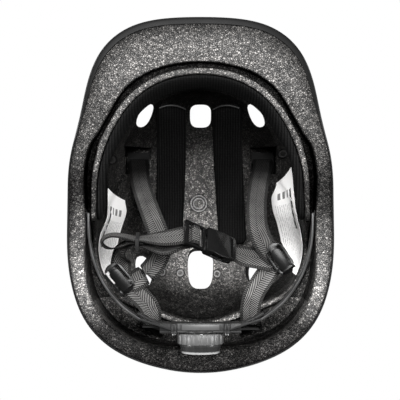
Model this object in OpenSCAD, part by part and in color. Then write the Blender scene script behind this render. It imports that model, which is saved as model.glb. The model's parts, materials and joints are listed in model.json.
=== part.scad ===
// Child's bicycle helmet with a moulded visor, seen complete: shell, foam liner, pads,
// webbing harness with side-release buckle and dividers, and a head ring with its dial.
// The crown points to +Z, the rim stands on z = 0, the visor points to -Y, the dial to +Y.

/* [Shell and foam] */
// Width of the plan ellipse that the rim follows
rim_w = 203.6; // [199:0.2:209]
// Length of that ellipse, from visor to nape
rim_l = 277.4; // [271:0.2:284]
// Height of the crown above the rim
crown_h = 150; // [146:1:156]
// Foam thickness at the crown
crown_foam = 24; // [22:1:26]
// Thickness of the outer shell
shell_t = 1; // [0.8:0.1:1.3]
// Glue line between shell and foam
bond = 0.1; // [0.08:0.01:0.15]
// Width of the foam lip round the head opening
lip_w = 4.4; // [3.8:0.2:4.8]
// Drop from the shell's widest line to its lower edge
edge_drop = 4; // [3:0.5:4]

/* [Vents and pockets] */
// Width of the front middle vent
front_vent_w = 17.6; // [15:0.2:19]
// Length of the front middle vent
front_vent_l = 21; // [18:0.5:23]
// Width of the rear middle vent
rear_vent_w = 21; // [17:0.5:23]
// Length of the rear middle vent
rear_vent_l = 36; // [30:1:38]
// Width of the pocket that holds a front strap's anchor
pocket_w = 20; // [19:0.5:21]
// Length of that pocket
pocket_l = 22; // [20:0.5:24]
// Height of the pocket's roof
pocket_top = 108; // [105:1:110]

/* [Pads] */
// Space between a pad and the foam for the hook patches
pad_gap = 1.7; // [1.5:0.1:1.9]
// Thickness of a hook patch
hook_t = 0.7; // [0.5:0.1:0.8]
// Thickness of the crown pads at their middle
crown_pad_t = 5; // [4:0.5:6]
// Width of the crown pads
crown_pad_w = 26; // [20:1:28]
// Thickness of the brow pad
brow_pad_t = 4.6; // [4:0.2:5.2]
// Height of the brow pad at the forehead
brow_pad_h = 31; // [27:1:35]

/* [Harness] */
// Width of the webbing
web_w = 16; // [15:0.2:16.4]
// Thickness of the webbing
web_t = 1.2; // [1:0.1:1.3]
// Width of the side-release buckle
buckle_w = 20.5; // [20:0.5:22]
// Length of the buckle's socket
socket_l = 27; // [25:0.5:29]
// Thickness of the socket
socket_t = 8; // [7.5:0.5:9]
// Length of the plug's ladder
ladder_l = 19; // [18.5:0.5:20]
// Length of the plug's prongs
prong_l = 17; // [16:0.5:18]
// Length of a strap divider
divider_l = 26; // [25:0.5:28]
// Width of a strap divider
divider_w = 15; // [14:0.5:16]
// Thickness of a divider's plate
divider_t = 2.4; // [2:0.2:3]
// Length of a divider's cam lever
lever_l = 20; // [18:0.5:21]
// Radius of a lever's pin
lever_pin_r = 1; // [0.8:0.1:1.2]

/* [Head ring] */
// Height of the ring's band
band_h = 15; // [13:0.5:16]
// Thickness of the band
band_t = 1.6; // [1.4:0.1:1.8]
// Height of the band's lower edge above the rim
band_z = 12; // [11:0.5:13]
// Radius of the snap studs at the temples
stud_r = 2.4; // [2:0.1:2.8]
// Reach of a rack tongue from the dial's axis
tongue_reach = 44; // [42:0.5:46]
// Travel of each rack to either side
rack_travel = 10.4; // [9:0.1:10.4]

/* [Dial] */
// Radius of the grip
knob_r = 17.4; // [16.5:0.1:17.6]
// Depth of the grip ring
grip_l = 7.8; // [6:0.2:9]
// Depth of the smooth cone behind the grip
cone_l = 7; // [5:0.5:7.5]
// Module of the pinion and the racks
gear_m = 0.8; // [0.76:0.02:0.82]
// Number of teeth on the pinion
gear_n = 10; // [10:2:10]
// Radius of the shaft in the cover
shaft_r = 3; // [2.6:0.1:3.2]
// Running clearance round shafts and pins
run = 0.06; // [0.04:0.01:0.08]

/* [Hidden] */

// Plan positions follow the rim when it grows
wide = rim_w / 203.6;
long = rim_l / 277.4;
function at(p) = [p[0] * wide, p[1] * long, p[2]];

// Plan curves as cosine series of the angle from the visor, over the radius of the plan
// ellipse: the widest line, the inner edge of the rim's underside and the head opening
rim_series = [1.0375, 0.0039, 0.0224, 0.0223, -0.0409, -0.01, -0.02, -0.0118, -0.0004,
    0.0007, 0.0035];
flange_series = [0.8677, -0.0664, -0.0209, 0.0031, -0.0411, 0.0178, -0.0093, -0.0038];
head_series = [0.7606, -0.0417, -0.044, 0.0274, -0.0357, 0.0045, 0.0064, -0.0117, 0.0042];

// Guide curves against the same angle in degrees, alike on both sides
// Height of the widest line
edge_z = [[0, 50], [25, 47], [40, 38], [52, 26], [62, 16], [72, 10.5], [82, 12.5], [92, 15.5],
    [101, 16], [110, 13], [121, 8], [133, 6], [148, 13], [162, 25], [170, 33.5], [180, 39]];
// Height of the rim's inner edge, zero at two pairs of feet with an arch over the ears between
under_z = [[0, 36], [25, 34], [40, 27], [52, 16], [62, 6], [68, 0], [75, 0], [83, 4],
    [92, 9], [100, 10], [108, 7.5], [118, 2], [127, 0], [138, 0], [150, 9], [162, 22],
    [170, 30.5], [180, 35.5]];
// Height of the lip's lower face
lip_z = [[0, 30], [30, 29], [50, 22], [65, 12], [78, 7], [88, 9], [97, 10], [102, 11], [108, 29],
    [113, 37], [118, 42], [150, 45], [180, 45]];
// Height of the groove's roof behind the lip
groove_z = [[0, 42], [40, 37], [60, 26], [80, 29], [104, 30], [112, 40], [118, 43.6],
    [135, 46], [150, 50], [180, 50]];
// How far the groove's outer side is drawn in near the visor, and how much wider the lip gets
groove_in = [[0, 1.1], [17, 1.5], [34, 1.4], [42, 2.6], [49, 3.6], [58, 3.1], [66, 0.4], [72, 0],
    [180, 0]];
lip_more = [[0, 0.5], [17, 0.9], [40, 1.1], [58, 1.9], [70, 0.7], [85, 0.4], [104, 0], [180, 0]];
// How far the rim flares out from the dome, and over which height
flare = [[0, 26], [25, 25], [36, 20], [46, 10], [58, 4], [90, 3], [135, 8], [180, 9]];
flare_h = [[0, 34], [36, 30], [60, 18], [90, 16], [135, 24], [180, 26]];
// Width of the shell's return under the edge
return_w = [[0, 6], [25, 6], [45, 4.5], [62, 1.4], [75, 1], [180, 1]];

dome_n = 2.3;
sections = 60;
outer_rows = 13;
inner_rows = 12;
groove_min = 3;

function slope_at(t, i) = i <= 0 || i >= len(t) - 1 ? 0 :
    let (d0 = (t[i][1] - t[i - 1][1]) / (t[i][0] - t[i - 1][0]),
        d1 = (t[i + 1][1] - t[i][1]) / (t[i + 1][0] - t[i][0]))
    d0 * d1 <= 0 ? 0 : 2 * d0 * d1 / (d0 + d1);
function span_of(t, a, i = 0) = i >= len(t) - 2 || a <= t[i + 1][0] ? i : span_of(t, a, i + 1);
// Value of a guide curve, smooth and without overshoot
function track(t, angle) =
    let (a = abs(((angle + 540) % 360) - 180), i = span_of(t, a), h = t[i + 1][0] - t[i][0],
        u = (a - t[i][0]) / h, m0 = slope_at(t, i) * h, m1 = slope_at(t, i + 1) * h)
    t[i][1] * (1 + 2 * u) * (1 - u) * (1 - u) + m0 * u * (1 - u) * (1 - u)
        + t[i + 1][1] * u * u * (3 - 2 * u) + m1 * u * u * (u - 1);

function ellipse_r(a) = 1 / sqrt(pow(2 * sin(a) / rim_w, 2) + pow(2 * cos(a) / rim_l, 2));
function series(c, a, k = 0) = k >= len(c) ? 0 : c[k] * cos(k * a) + series(c, a, k + 1);
function rim_r(a) = ellipse_r(a) * series(rim_series, a);
function flange_r(a) = ellipse_r(a) * series(flange_series, a) - track(groove_in, a);
function head_r(a) = ellipse_r(a) * series(head_series, a);
function dome_k(h) = pow(1 - pow(h, dome_n), 1 / dome_n);
function in_plan(a, r, z) = [r * sin(a), -r * cos(a), z];
function unit(v) = v / norm(v);
function joined(v) = [for (a = v) each a];
function backwards(v) = [for (i = [len(v) - 1:-1:0]) v[i]];

// Meridian of the shell's outer face: return, lower edge, widest line, then up to the crown
function outer_face(a) =
    let (r = rim_r(a), ze = track(edge_z, a), rd = r - track(flare, a), fh = track(flare_h, a),
        ret = track(return_w, a), amp = r - rd * dome_k(ze / crown_h),
        t0 = asin(pow(ze / crown_h, dome_n / 2)))
    concat([[r - ret, ze - edge_drop], [r - 0.35 * ret, ze - 0.6 * edge_drop]],
        [for (i = [0:outer_rows])
            let (t = t0 + (88.5 - t0) * pow(i / outer_rows, 1.4),
                z = crown_h * pow(sin(t), 2 / dome_n),
                s = max(0, 1 - (z - ze) / fh))
            [rd * pow(cos(t), 2 / dome_n) + amp * pow(s, 2.2), z]]);
// The same meridian moved inwards by a distance, with mitred corners
function left_of(p, q) = let (t = unit(q - p)) [-t[1], t[0]];
function inset(p, d) = let (n = len(p)) [for (i = [0:n - 1])
    let (u = left_of(p[max(i - 1, 0)], p[max(i, 1)]),
        v = left_of(p[min(i, n - 2)], p[min(i + 1, n - 1)]))
    p[i] + d * (u + v) / (1 + u * v)];

head_h = crown_h - crown_foam;
// Plan radius of the cavity at z = 0, and its wall at a height
function cavity_r(a) = head_r(a) / dome_k(track(lip_z, a) / head_h);
function wall_at(a, z) = cavity_r(a) * dome_k(z / head_h);
// Height of the cavity's roof over a plan point, and the direction down into the cavity
function roof_z(x, y) = let (a = atan2(x, -y))
    head_h * pow(max(0, 1 - pow(norm([x, y]) / cavity_r(a), dome_n)), 1 / dome_n);
function roof_down(x, y) = let (e = 0.5)
    unit([(roof_z(x + e, y) - roof_z(x - e, y)) / (2 * e),
        (roof_z(x, y + e) - roof_z(x, y - e)) / (2 * e), -1]);
function below_roof(x, y, d) = [x, y, roof_z(x, y)] + d * roof_down(x, y);
function off_wall(a, z, d) = let (p = in_plan(a, wall_at(a, z), z)) p + d * roof_down(p[0], p[1]);

// Meridian of the foam: down the outside, along the underside, round the lip, up the cavity
function foam_face(a) =
    let (r = rim_r(a), ze = track(edge_z, a), ret = track(return_w, a),
        rf = flange_r(a), zu = track(under_z, a),
        ri = head_r(a), zl = track(lip_z, a),
        rl = min(ri + lip_w + track(lip_more, a), rf - groove_min), zg = track(groove_z, a),
        r0 = r - ret - shell_t, z0 = ze - edge_drop,
        t0 = asin(pow((zl + 1) / head_h, dome_n / 2)))
    concat(backwards(inset(outer_face(a), shell_t + bond)),
        [[r0 - 0.6, z0],
            [0.55 * r0 + 0.45 * rf,
                0.5 * z0 + 0.5 * zu - 0.06 * (r0 - rf) * sin(90 * min(1, zu / 20))],
            [rf + 1.2, zu], [rf, zu + 1.2], [rf - 0.2, zg - 0.6], [rl + 0.2, zg],
            [rl, zl + 1], [rl - 0.8, zl], [ri + 0.8, zl]],
        [for (i = [0:inner_rows])
            let (t = t0 + (88 - t0) * i / inner_rows)
            [cavity_r(a) * pow(cos(t), 2 / dome_n), head_h * pow(sin(t), 2 / dome_n)]]);

// Closed skin through rings of points, each ring of the same length, with flat ends; the
// quads are split along one diagonal or the other, so that two skins can lie close together
module skin(rings, other = false) {
    n = len(rings[0]);
    m = len(rings);
    sides = [for (i = [0:m - 2], j = [0:n - 1])
        let (a = i * n + j, b = i * n + (j + 1) % n)
        each other ? [[a, b, a + n], [b, b + n, a + n]] : [[a, b, b + n], [a, b + n, a + n]]];
    ends = [[for (j = [n - 1:-1:0]) j], [for (j = [0:n - 1]) (m - 1) * n + j]];
    polyhedron(points = joined(rings), faces = concat(sides, ends));
}
// Solid of revolution-like form whose meridian changes with the angle
module turned(meridians, other = false) {
    rows = len(meridians[0]);
    skin([for (j = [0:rows - 1]) [for (i = [0:sections - 1])
        in_plan(i * 360 / sections, meridians[i][j][0], meridians[i][j][1])]], other);
}

// Vents, as plan outlines where they cross the foam, each with its outward lean
function oval(w, l, taper = 0) = [for (i = [0:19]) let (t = 18 * i,
        c = sign(cos(t)) * pow(abs(cos(t)), 0.62), s = sign(sin(t)) * pow(abs(sin(t)), 0.62))
    [c * w / 2 * (1 - taper * s), s * l / 2]];
front_leaf = [[-42, -75], [-38, -73.5], [-39.5, -66], [-43, -58.5], [-47.5, -55], [-52, -56],
    [-53, -60.5], [-50.5, -67.5]];
rear_leaf = [[-53, 52], [-49, 46.5], [-43, 46], [-38, 52], [-36.5, 60], [-38.5, 69],
    [-43, 76], [-48, 76], [-52.5, 69], [-54.5, 60]];
vent_level = 100;
vent_reach = 60;
function middle_of(p) = [for (k = [0, 1]) sum_of(p, k) / len(p)];
function sum_of(p, k, i = 0) = i >= len(p) ? 0 : p[i][k] + sum_of(p, k, i + 1);

module leaning(shape, lean) {
    c = middle_of(shape);
    out = unit(c);
    shift = vent_reach * tan(lean) * out;
    rows = [for (s = [-1, 1]) [for (p = shape)
        [p[0] * wide + s * shift[0], p[1] * long + s * shift[1], vent_level + s * vent_reach]]];
    skin(rows);
}
module vents() {
    leaning(backwards([for (p = oval(front_vent_w, front_vent_l)) p + [0, -64]]), 6);
    leaning(backwards([for (p = oval(rear_vent_w, rear_vent_l, 0.1)) p + [0, 59.5]]), 8);
    for (side = [0, 1]) mirror([side, 0, 0]) {
        leaning(backwards(front_leaf), 5);
        leaning(backwards(rear_leaf), 13);
    }
}

pocket_at = [51, -28];
module strap_pockets() {
    for (s = [-1, 1])
        translate([s * pocket_at[0] * wide - pocket_w / 2, pocket_at[1] * long - pocket_l / 2, 20])
            cube([pocket_w, pocket_l, pocket_top - 20]);
}
// Side vents run from the strap pockets out through the shell
side_vent = [[-36, 88], [-31, 84], [-25, 84], [-21, 89], [-24, 94], [-31, 95]];
module side_vents() {
    for (s = [0, 1]) mirror([s, 0, 0])
        translate([pocket_at[0] * wide, 0, 0]) rotate([90, 0, 90])
            linear_extrude(height = 70) polygon([for (p = side_vent) [p[0] * long, p[1]]]);
}

module outer_shell() color([0.16, 0.16, 0.17]) difference() {
    m = [for (i = [0:sections - 1]) let (f = outer_face(i * 360 / sections))
        concat(backwards(f), inset(f, shell_t))];
    turned(m);
    vents();
    side_vents();
}

module foam_liner() color([0.3, 0.29, 0.28]) difference() {
    turned([for (i = [0:sections - 1]) foam_face(i * 360 / sections)], true);
    vents();
    side_vents();
    strap_pockets();
    for (s = [-1, 1]) translate([s * (socket_x + socket_len + 0.1), stud_y, stud_z])
        rotate([0, -90 * s, 0]) cylinder(r = socket_r + 0.1, h = 20, $fn = 32);
}

// Brow pad, a horseshoe against the cavity wall just above the lip
brow_end = 104;
brow_h = [[0, brow_pad_h], [40, brow_pad_h - 2], [75, brow_pad_h - 7], [brow_end, brow_pad_h - 9]];
module brow_pad() color([0.05, 0.05, 0.055]) {
    steps = 26;
    skin([for (i = [0:steps])
        let (a = -brow_end + 2 * brow_end * i / steps,
            z0 = track(lip_z, a) + 1.5, h = track(brow_h, a),
            end = min(1, 0.35 + 2.2 * (1 - abs(a) / brow_end)))
        concat([for (u = [0, 0.33, 0.67, 1]) off_wall(a, z0 + u * h, pad_gap)],
            [for (u = [0.94, 0.67, 0.33, 0.06]) let (full = u > 0.9 || u < 0.1 ? 0.45 : 1)
                off_wall(a, z0 + u * h, pad_gap + brow_pad_t * full * end)])]);
}

// Crown pads, two strips that follow the cavity's roof from the brow to behind the crown
pad_front = -74.5;
pad_back = 42;
module crown_pad(x0, x1) color([0.05, 0.05, 0.055]) {
    steps = 18;
    skin([for (i = [steps:-1:0])
        let (t = i / steps, y = (pad_front + (pad_back - pad_front) * t) * long,
            xc = (x0 + (x1 - x0) * t) * wide, end = min(1, 0.3 + 6 * min(t, 1 - t)),
            w = crown_pad_w * min(1, 0.72 + 4 * min(t, 1 - t)))
        concat([for (u = [-0.5, -0.25, 0, 0.25, 0.5]) below_roof(xc + u * w, y, pad_gap)],
            [for (u = [0.47, 0.25, 0, -0.25, -0.47])
                below_roof(xc + u * w, y, pad_gap + crown_pad_t * end * (1 - 2.4 * u * u))])]);
}
module crown_pad_left() crown_pad(-23.8, -27);
module crown_pad_right() crown_pad(21.8, 27.2);

// Hook patches that hold the pads to the foam
patch_half = 6;
hook_off = 0.55;
crown_patches = [[-23.5, -55], [-23.5, -12], [-23.5, 30], [23.5, -55], [23.5, -12], [23.5, 30]];
brow_patches = [-78, -40, 0, 40, 78];
module hook_patches() color([0.08, 0.08, 0.08]) {
    for (c = crown_patches) skin([for (i = [1, 0, -1])
        concat([for (k = [-1, 0, 1]) below_roof(c[0] * wide + k * patch_half,
                c[1] * long + i * patch_half, hook_off)],
            [for (k = [1, 0, -1]) below_roof(c[0] * wide + k * patch_half,
                c[1] * long + i * patch_half, hook_off + hook_t)])]);
    for (a = brow_patches) skin([for (i = [-1, 0, 1])
        let (z = track(lip_z, a) + 1.5 + 0.45 * track(brow_h, a), b = a + i * 4.5)
        concat([for (k = [-1, 0, 1]) off_wall(b, z + k * patch_half, hook_off)],
            [for (k = [1, 0, -1]) off_wall(b, z + k * patch_half, hook_off + hook_t)])]);
}

// Blank stickers on the cavity wall; their front edge leans back by an angle towards the crown
label_t = 0.3;
label_gap = 0.7;
label_lean = 8;
left_low = [[86, 52], [102, 54], [108, 50], [112, 44], [136, 46]];
left_high = [[86, 86], [96, 89], [115, 84], [128, 70], [136, 56]];
right_low = [[73, 50], [85, 51], [102, 44], [110, 43], [130, 46]];
right_high = [[73, 84], [87, 92], [107, 89], [118, 86], [124, 68], [130, 55]];
module label(low, high, side) color([0.85, 0.85, 0.85]) {
    steps = 12;
    a0 = low[0][0];
    a1 = low[len(low) - 1][0];
    us = [0, 0.25, 0.5, 0.75, 1];
    rings = [for (i = [0:steps]) let (a = a0 + (a1 - a0) * i / steps,
            lean = label_lean * (1 - i / steps), z0 = track(low, a), z1 = track(high, a))
        concat([for (u = us) off_wall(side * (a + lean * u), z0 + u * (z1 - z0), label_gap)],
            [for (u = backwards(us))
                off_wall(side * (a + lean * u), z0 + u * (z1 - z0), label_gap + label_t)])];
    skin(side > 0 ? rings : backwards(rings));
}
module label_left() label(left_low, left_high, -1);
module label_right() label(right_low, right_high, 1);

// Flat webbing through stations [x, y, z, plan angle of its width, dip of its width, hold];
// the hold, if given, is how far the station keeps its place against the buckle
web_steps = 3;
function blend4(p, q, r, s, u) = 0.5 * ((2 * q) + (r - p) * u
    + (2 * p - 5 * q + 4 * r - s) * u * u + (3 * q - p - 3 * r + s) * u * u * u);
function fine(p) = let (n = len(p))
    [for (i = [0:n - 2], k = [0:web_steps - 1])
        blend4(p[max(i - 1, 0)], p[i], p[i + 1], p[min(i + 2, n - 1)], k / web_steps), p[n - 1]];
function place_of(s) = let (p = [s[0], s[1], s[2]])
    at(p) + (len(s) > 5 ? s[5] : 0) * (at(buckle_at) - buckle_at + p - at(p));
function width_of(s) = [cos(s[3]) * cos(s[4]), sin(s[3]) * cos(s[4]), sin(s[4])];
module webbing(stations) {
    f = fine(stations);
    n = len(f);
    skin([for (i = [0:n - 1])
        let (c = place_of(f[i]),
            t = unit(place_of(f[min(i + 1, n - 1)]) - place_of(f[max(i - 1, 0)])),
            w0 = width_of(f[i]), w = unit(w0 - (w0 * t) * t) * web_w / 2,
            h = unit(cross(t, w)) * web_t / 2)
        [c - w - h, c - w + h, c + w + h, c + w - h]]);
}
front_left_route = [[-51, -28, 97, 0, 0], [-50, -21, 87, 0, 0], [-47.5, -8, 68, 0, 0],
    [-42, 6, 46, -2, 0], [-37, 18, 33, -4, 0], [-32.5, 29.5, 27, -5, 0],
    [-30.5, 39, 25.4, -10, 0], [-32, 48, 25.6, -22, 0], [-38, 57, 26, -32, 0],
    [-46, 63.5, 26.2, -42, 0], [-54, 68, 26.2, -50, 0]];
front_right_route = [[51, -28, 97, 0, 0], [50, -21, 87, 0, 0], [46.5, -8, 68, 0, 0],
    [44, 6, 48, 0, 0], [43.5, 17, 35, 0, 0], [44.2, 26, 28, -6, 0],
    [47, 34.5, 25.2, -20, 0], [51.5, 41.5, 24.5, -34, 0], [57.5, 48, 24.4, -42, 0]];
rear_left_route = [[-57, 68, 27.8, -38, 0], [-52, 73, 28.4, -35, 0], [-45.5, 79, 30.4, -31, 0],
    [-40, 86, 33.4, -28, 0], [-38, 93.5, 38, -27, 0], [-39, 101, 43, -27, 0]];
rear_right_route = [[56, 53, 28.1, 35, 0], [50.5, 61, 28.5, 32, 0], [44, 71, 29.7, 30, 0],
    [40, 80, 31.8, 28, 0], [38.4, 90.5, 36.8, 26, 0], [39, 100.6, 43, 27, 0]];
tail_route = [[-8.6, 31.5, 12.2, 91, -36, 1], [-14.5, 31, 9.9, 91, -38, 1],
    [-20, 32, 9.5, 90, -40, 0.8], [-28, 33, 10.2, 90, -46, 0.5], [-36, 33.2, 11, 90, -60, 0.2],
    [-43, 33.3, 11.6, 90, -73, 0], [-50, 33.3, 11.6, 90, -76, 0],
    [-57, 31.6, 11.6, 100, -78, 0], [-66, 30.6, 11.6, 90, -80, 0],
    [-72, 32.2, 11.6, 55, -80, 0], [-74.5, 35.8, 11.6, 0, -80, 0],
    [-72, 39.4, 11.6, -55, -80, 0], [-66, 40.6, 11.6, -90, -88, 0],
    [-58.5, 38.2, 11.6, -90, -96, 0], [-52.5, 35.3, 11.6, -90, -103, 0],
    [-43, 35.3, 11.6, -90, -104, 0]];
load_route = [[-9.8, 33, 14.6, 91, -36, 1], [-15, 35.8, 13.5, 91, -42, 1],
    [-21, 39.3, 12.2, 92, -50, 0.8], [-28, 41.4, 11.6, 90, -58, 0.5],
    [-35.5, 40.2, 11.6, 80, -66, 0.2], [-43, 37.6, 11.6, 86, -73, 0],
    [-50, 37.2, 11.8, 92, -76, 0], [-55.8, 39.4, 13.4, 60, -70, 0],
    [-59, 43.5, 17.6, 25, -55, 0], [-60.3, 48, 22.6, 8, -28, 0],
    [-60.8, 53, 24.5, 0, -4, 0], [-61, 58, 24.6, 0, 0, 0], [-61, 63, 24.6, 0, 0, 0]];
chin_right_route = [[25.5, 44.4, 31, 91, -34, 1], [29.5, 46, 32.6, 92, -32, 1],
    [35.5, 47.6, 31.4, 96, -20, 0.8], [42, 48.6, 28.2, 98, -8, 0.4],
    [48.5, 49.6, 26.4, 98, 0, 0.1], [56, 50.8, 26.1, 98, 0, 0]];

module front_strap_left() color([0.42, 0.42, 0.42]) webbing(front_left_route);
module front_strap_right() color([0.42, 0.42, 0.42]) webbing(front_right_route);
module rear_strap_left() color([0.42, 0.42, 0.42]) webbing(rear_left_route);
module rear_strap_right() color([0.42, 0.42, 0.42]) webbing(rear_right_route);
module chin_strap_right() color([0.42, 0.42, 0.42]) webbing(chin_right_route);
module chin_strap_left() color([0.42, 0.42, 0.42]) {
    webbing(tail_route);
    webbing(load_route);
    at_buckle() translate([bar_u, -web_w / 2, 0]) rotate([-90, 0, 0]) linear_extrude(height = web_w)
        difference() {
            square([bar_w + 2 * wrap_gap + 2 * web_t, bar_t + 2 * wrap_gap + 2 * web_t],
                center = true);
            square([bar_w + 2 * wrap_gap, bar_t + 2 * wrap_gap], center = true);
        }
}

// Rubber keeper round the three layers of the left chin strap
keeper_at = [-47.5, 35.25, 11.6];
keeper_dip = 76;
keeper_w = 2.6;
keeper_wall = 1.1;
module strap_keeper() color([0.07, 0.07, 0.07])
    translate(at(keeper_at)) rotate([90 - keeper_dip, 0, 0]) difference() {
        cube([keeper_w, 6.7 + 2 * keeper_wall, web_w + 1.5 + 2 * keeper_wall], center = true);
        cube([keeper_w + 1, 6.7, web_w + 1.5], center = true);
    }

// Front anchors hang from the pocket roofs, rear anchors from the groove roof
anchor_plate_t = 2.4;
anchor_bar_r = 1.5;
rear_anchor_at = [38.6, 103];
module strap_anchors() color([0.1, 0.1, 0.1]) {
    for (s = [-1, 1]) {
        translate([s * pocket_at[0] * wide, pocket_at[1] * long, pocket_top - 0.2]) {
            translate([-9, -7, -anchor_plate_t]) cube([18, 14, anchor_plate_t]);
            for (e = [-1, 1]) translate([e * 8.4 - 0.6, -2, -9.6]) cube([1.2, 4, 8]);
            translate([-9, 0, -8]) rotate([0, 90, 0]) cylinder(r = anchor_bar_r, h = 18, $fn = 24);
        }
        translate([s * rear_anchor_at[0] * wide, rear_anchor_at[1] * long, 49.2])
            rotate([0, 0, -21 * s]) {
                translate([-9, -4, -1.6]) cube([18, 8, 1.6]);
                translate([-9, -0.8, -4]) cube([18, 1.6, 3]);
            }
    }
}

// Dividers, where the front and rear straps meet; each lies in its own turned frame
divider_left_at = [-62, 64, 22.2];
divider_right_at = [60.5, 49, 22.2];
divider_left_turn = 50;
divider_right_turn = 55;
hinge_u = 9.5;
ear_drop = 2.2;
module at_divider(p, turn) translate(at(p)) rotate([0, 0, turn]) children();
module pill(l, w, h) {
    translate([0, 0, h / 2]) cube([l - w, w, h], center = true);
    for (s = [-1, 1]) translate([s * (l - w) / 2, 0, 0]) cylinder(d = w, h = h, $fn = 48);
}
slot_w = 3;
module divider_body() color([0.07, 0.07, 0.075]) {
    difference() {
        translate([0, 0, -divider_t / 2]) pill(divider_l, divider_w, divider_t);
        for (s = [-1, 1]) translate([-2.5, s * (divider_w / 2 - slot_w / 2 - 1.6), 0])
            cube([14, slot_w, divider_t + 2], center = true);
    }
    // Ears that carry the lever's pin on the lower face
    for (s = [-1, 1]) difference() {
        translate([hinge_u - 1.8, s * 5.6 - 0.8, -divider_t / 2 - ear_drop - 1.8])
            cube([3.6, 1.6, ear_drop + 2]);
        translate([hinge_u, 0, -divider_t / 2 - ear_drop]) rotate([90, 0, 0])
            cylinder(r = lever_pin_r + 0.02, h = 20, center = true, $fn = 32);
    }
}
module divider_lever() color([0.14, 0.14, 0.15]) difference() {
    union() {
        translate([hinge_u - lever_l / 2 + 1.8, 0, -divider_t / 2 - ear_drop - 1.6])
            pill(lever_l, 8.4, 2.4);
        translate([hinge_u, 0, -divider_t / 2 - ear_drop]) rotate([90, 0, 0])
            cylinder(r = 1.7, h = 8.4, center = true, $fn = 32);
    }
    translate([hinge_u, 0, -divider_t / 2 - ear_drop]) rotate([90, 0, 0])
        cylinder(r = lever_pin_r + run, h = 20, center = true, $fn = 32);
}
module divider_pin() translate([hinge_u, 0, -divider_t / 2 - ear_drop]) rotate([90, 0, 0])
    cylinder(r = lever_pin_r, h = 12.8, center = true, $fn = 32);
module divider_body_left() at_divider(divider_left_at, divider_left_turn) divider_body();
module divider_body_right() at_divider(divider_right_at, divider_right_turn) divider_body();
module divider_lever_left() at_divider(divider_left_at, divider_left_turn) divider_lever();
module divider_lever_right() at_divider(divider_right_at, divider_right_turn) divider_lever();
module divider_pins() color([0.5, 0.5, 0.5]) {
    at_divider(divider_left_at, divider_left_turn) divider_pin();
    at_divider(divider_right_at, divider_right_turn) divider_pin();
}

// Side-release buckle in its own frame: X runs from the plug to the socket
buckle_at = [3.4, 34.5, 17];
buckle_yaw = 24;
buckle_pitch = -30;
buckle_roll = -40;
module at_buckle() translate(at(buckle_at))
    rotate([buckle_roll, buckle_pitch, buckle_yaw]) children();
frame_t = 3;
rail_w = 1.7;
end_bar_w = 2.6;
bar_w = 4.6;
bar_t = 2;
bar_u = -9.2;
wrap_gap = 0.2;
shoulder_l = 2.8;
prong_w = 3;
prong_t = 3.2;
prong_v = 6.2;
guide_w = 4.4;
socket_wall = 1.4;
module buckle_plug() color([0.06, 0.06, 0.065]) at_buckle() {
    difference() {
        translate([-ladder_l, -buckle_w / 2, -frame_t / 2]) cube([ladder_l - 0.4, buckle_w, frame_t]);
        translate([-ladder_l + end_bar_w, -buckle_w / 2 + rail_w, -frame_t])
            cube([ladder_l - end_bar_w - shoulder_l, buckle_w - 2 * rail_w, 2 * frame_t]);
    }
    translate([bar_u - bar_w / 2, -buckle_w / 2 + 1, -bar_t / 2]) cube([bar_w, buckle_w - 2, bar_t]);
    // Centre guide that keeps the plug straight in the socket
    translate([-0.8, -guide_w / 2, -prong_t / 2]) cube([prong_l - 1.2, guide_w, prong_t]);
}
// Prong root, arm and thumb nub; the nub shows in the socket's side window
module prong() {
    translate([0, prong_v - prong_w / 2, -prong_t / 2]) cube([prong_l - 4, prong_w, prong_t]);
    translate([prong_l - 9.5, prong_v - prong_w / 2, -prong_t / 2])
        linear_extrude(height = prong_t)
            polygon([[0, 0], [1.2, 4], [5.5, 5], [8.4, 3.2], [9.5, 0.6], [9.5, 0]]);
}
module buckle_prong_upper() color([0.06, 0.06, 0.065]) at_buckle() mirror([0, 1, 0]) prong();
module buckle_prong_lower() color([0.06, 0.06, 0.065]) at_buckle() prong();
module buckle_socket() color([0.06, 0.06, 0.065]) at_buckle() difference() {
    linear_extrude(height = socket_t, center = true) socket_outline();
    // Throat for the guide and the prongs
    translate([-1, -buckle_w / 2 + socket_wall, -prong_t / 2 - 0.35])
        cube([prong_l + 2, buckle_w - 2 * socket_wall, prong_t + 0.7]);
    // Side windows where the nubs catch
    for (s = [-1, 1]) translate([prong_l - 9.8 + 5.2, s * buckle_w / 2, 0])
        cube([11.2, 6, prong_t + 0.7], center = true);
    // Slot and bar for the fixed strap
    translate([socket_l - 4.6, -web_w / 2 - 0.4, -socket_t]) cube([2.4, web_w + 0.8, 2 * socket_t]);
}
module socket_outline() polygon([[0, -buckle_w / 2 + 0.8], [1.5, -buckle_w / 2],
    [8, -buckle_w / 2], [13, -buckle_w / 2 - 0.6], [19, -buckle_w / 2],
    [socket_l - 1.5, -buckle_w / 2 + 0.6], [socket_l, -buckle_w / 2 + 2.4],
    [socket_l, buckle_w / 2 - 2.4],
    [socket_l - 1.5, buckle_w / 2 - 0.6], [19, buckle_w / 2], [13, buckle_w / 2 + 0.6],
    [8, buckle_w / 2], [1.5, buckle_w / 2], [0, buckle_w / 2 - 0.8]]);

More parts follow.
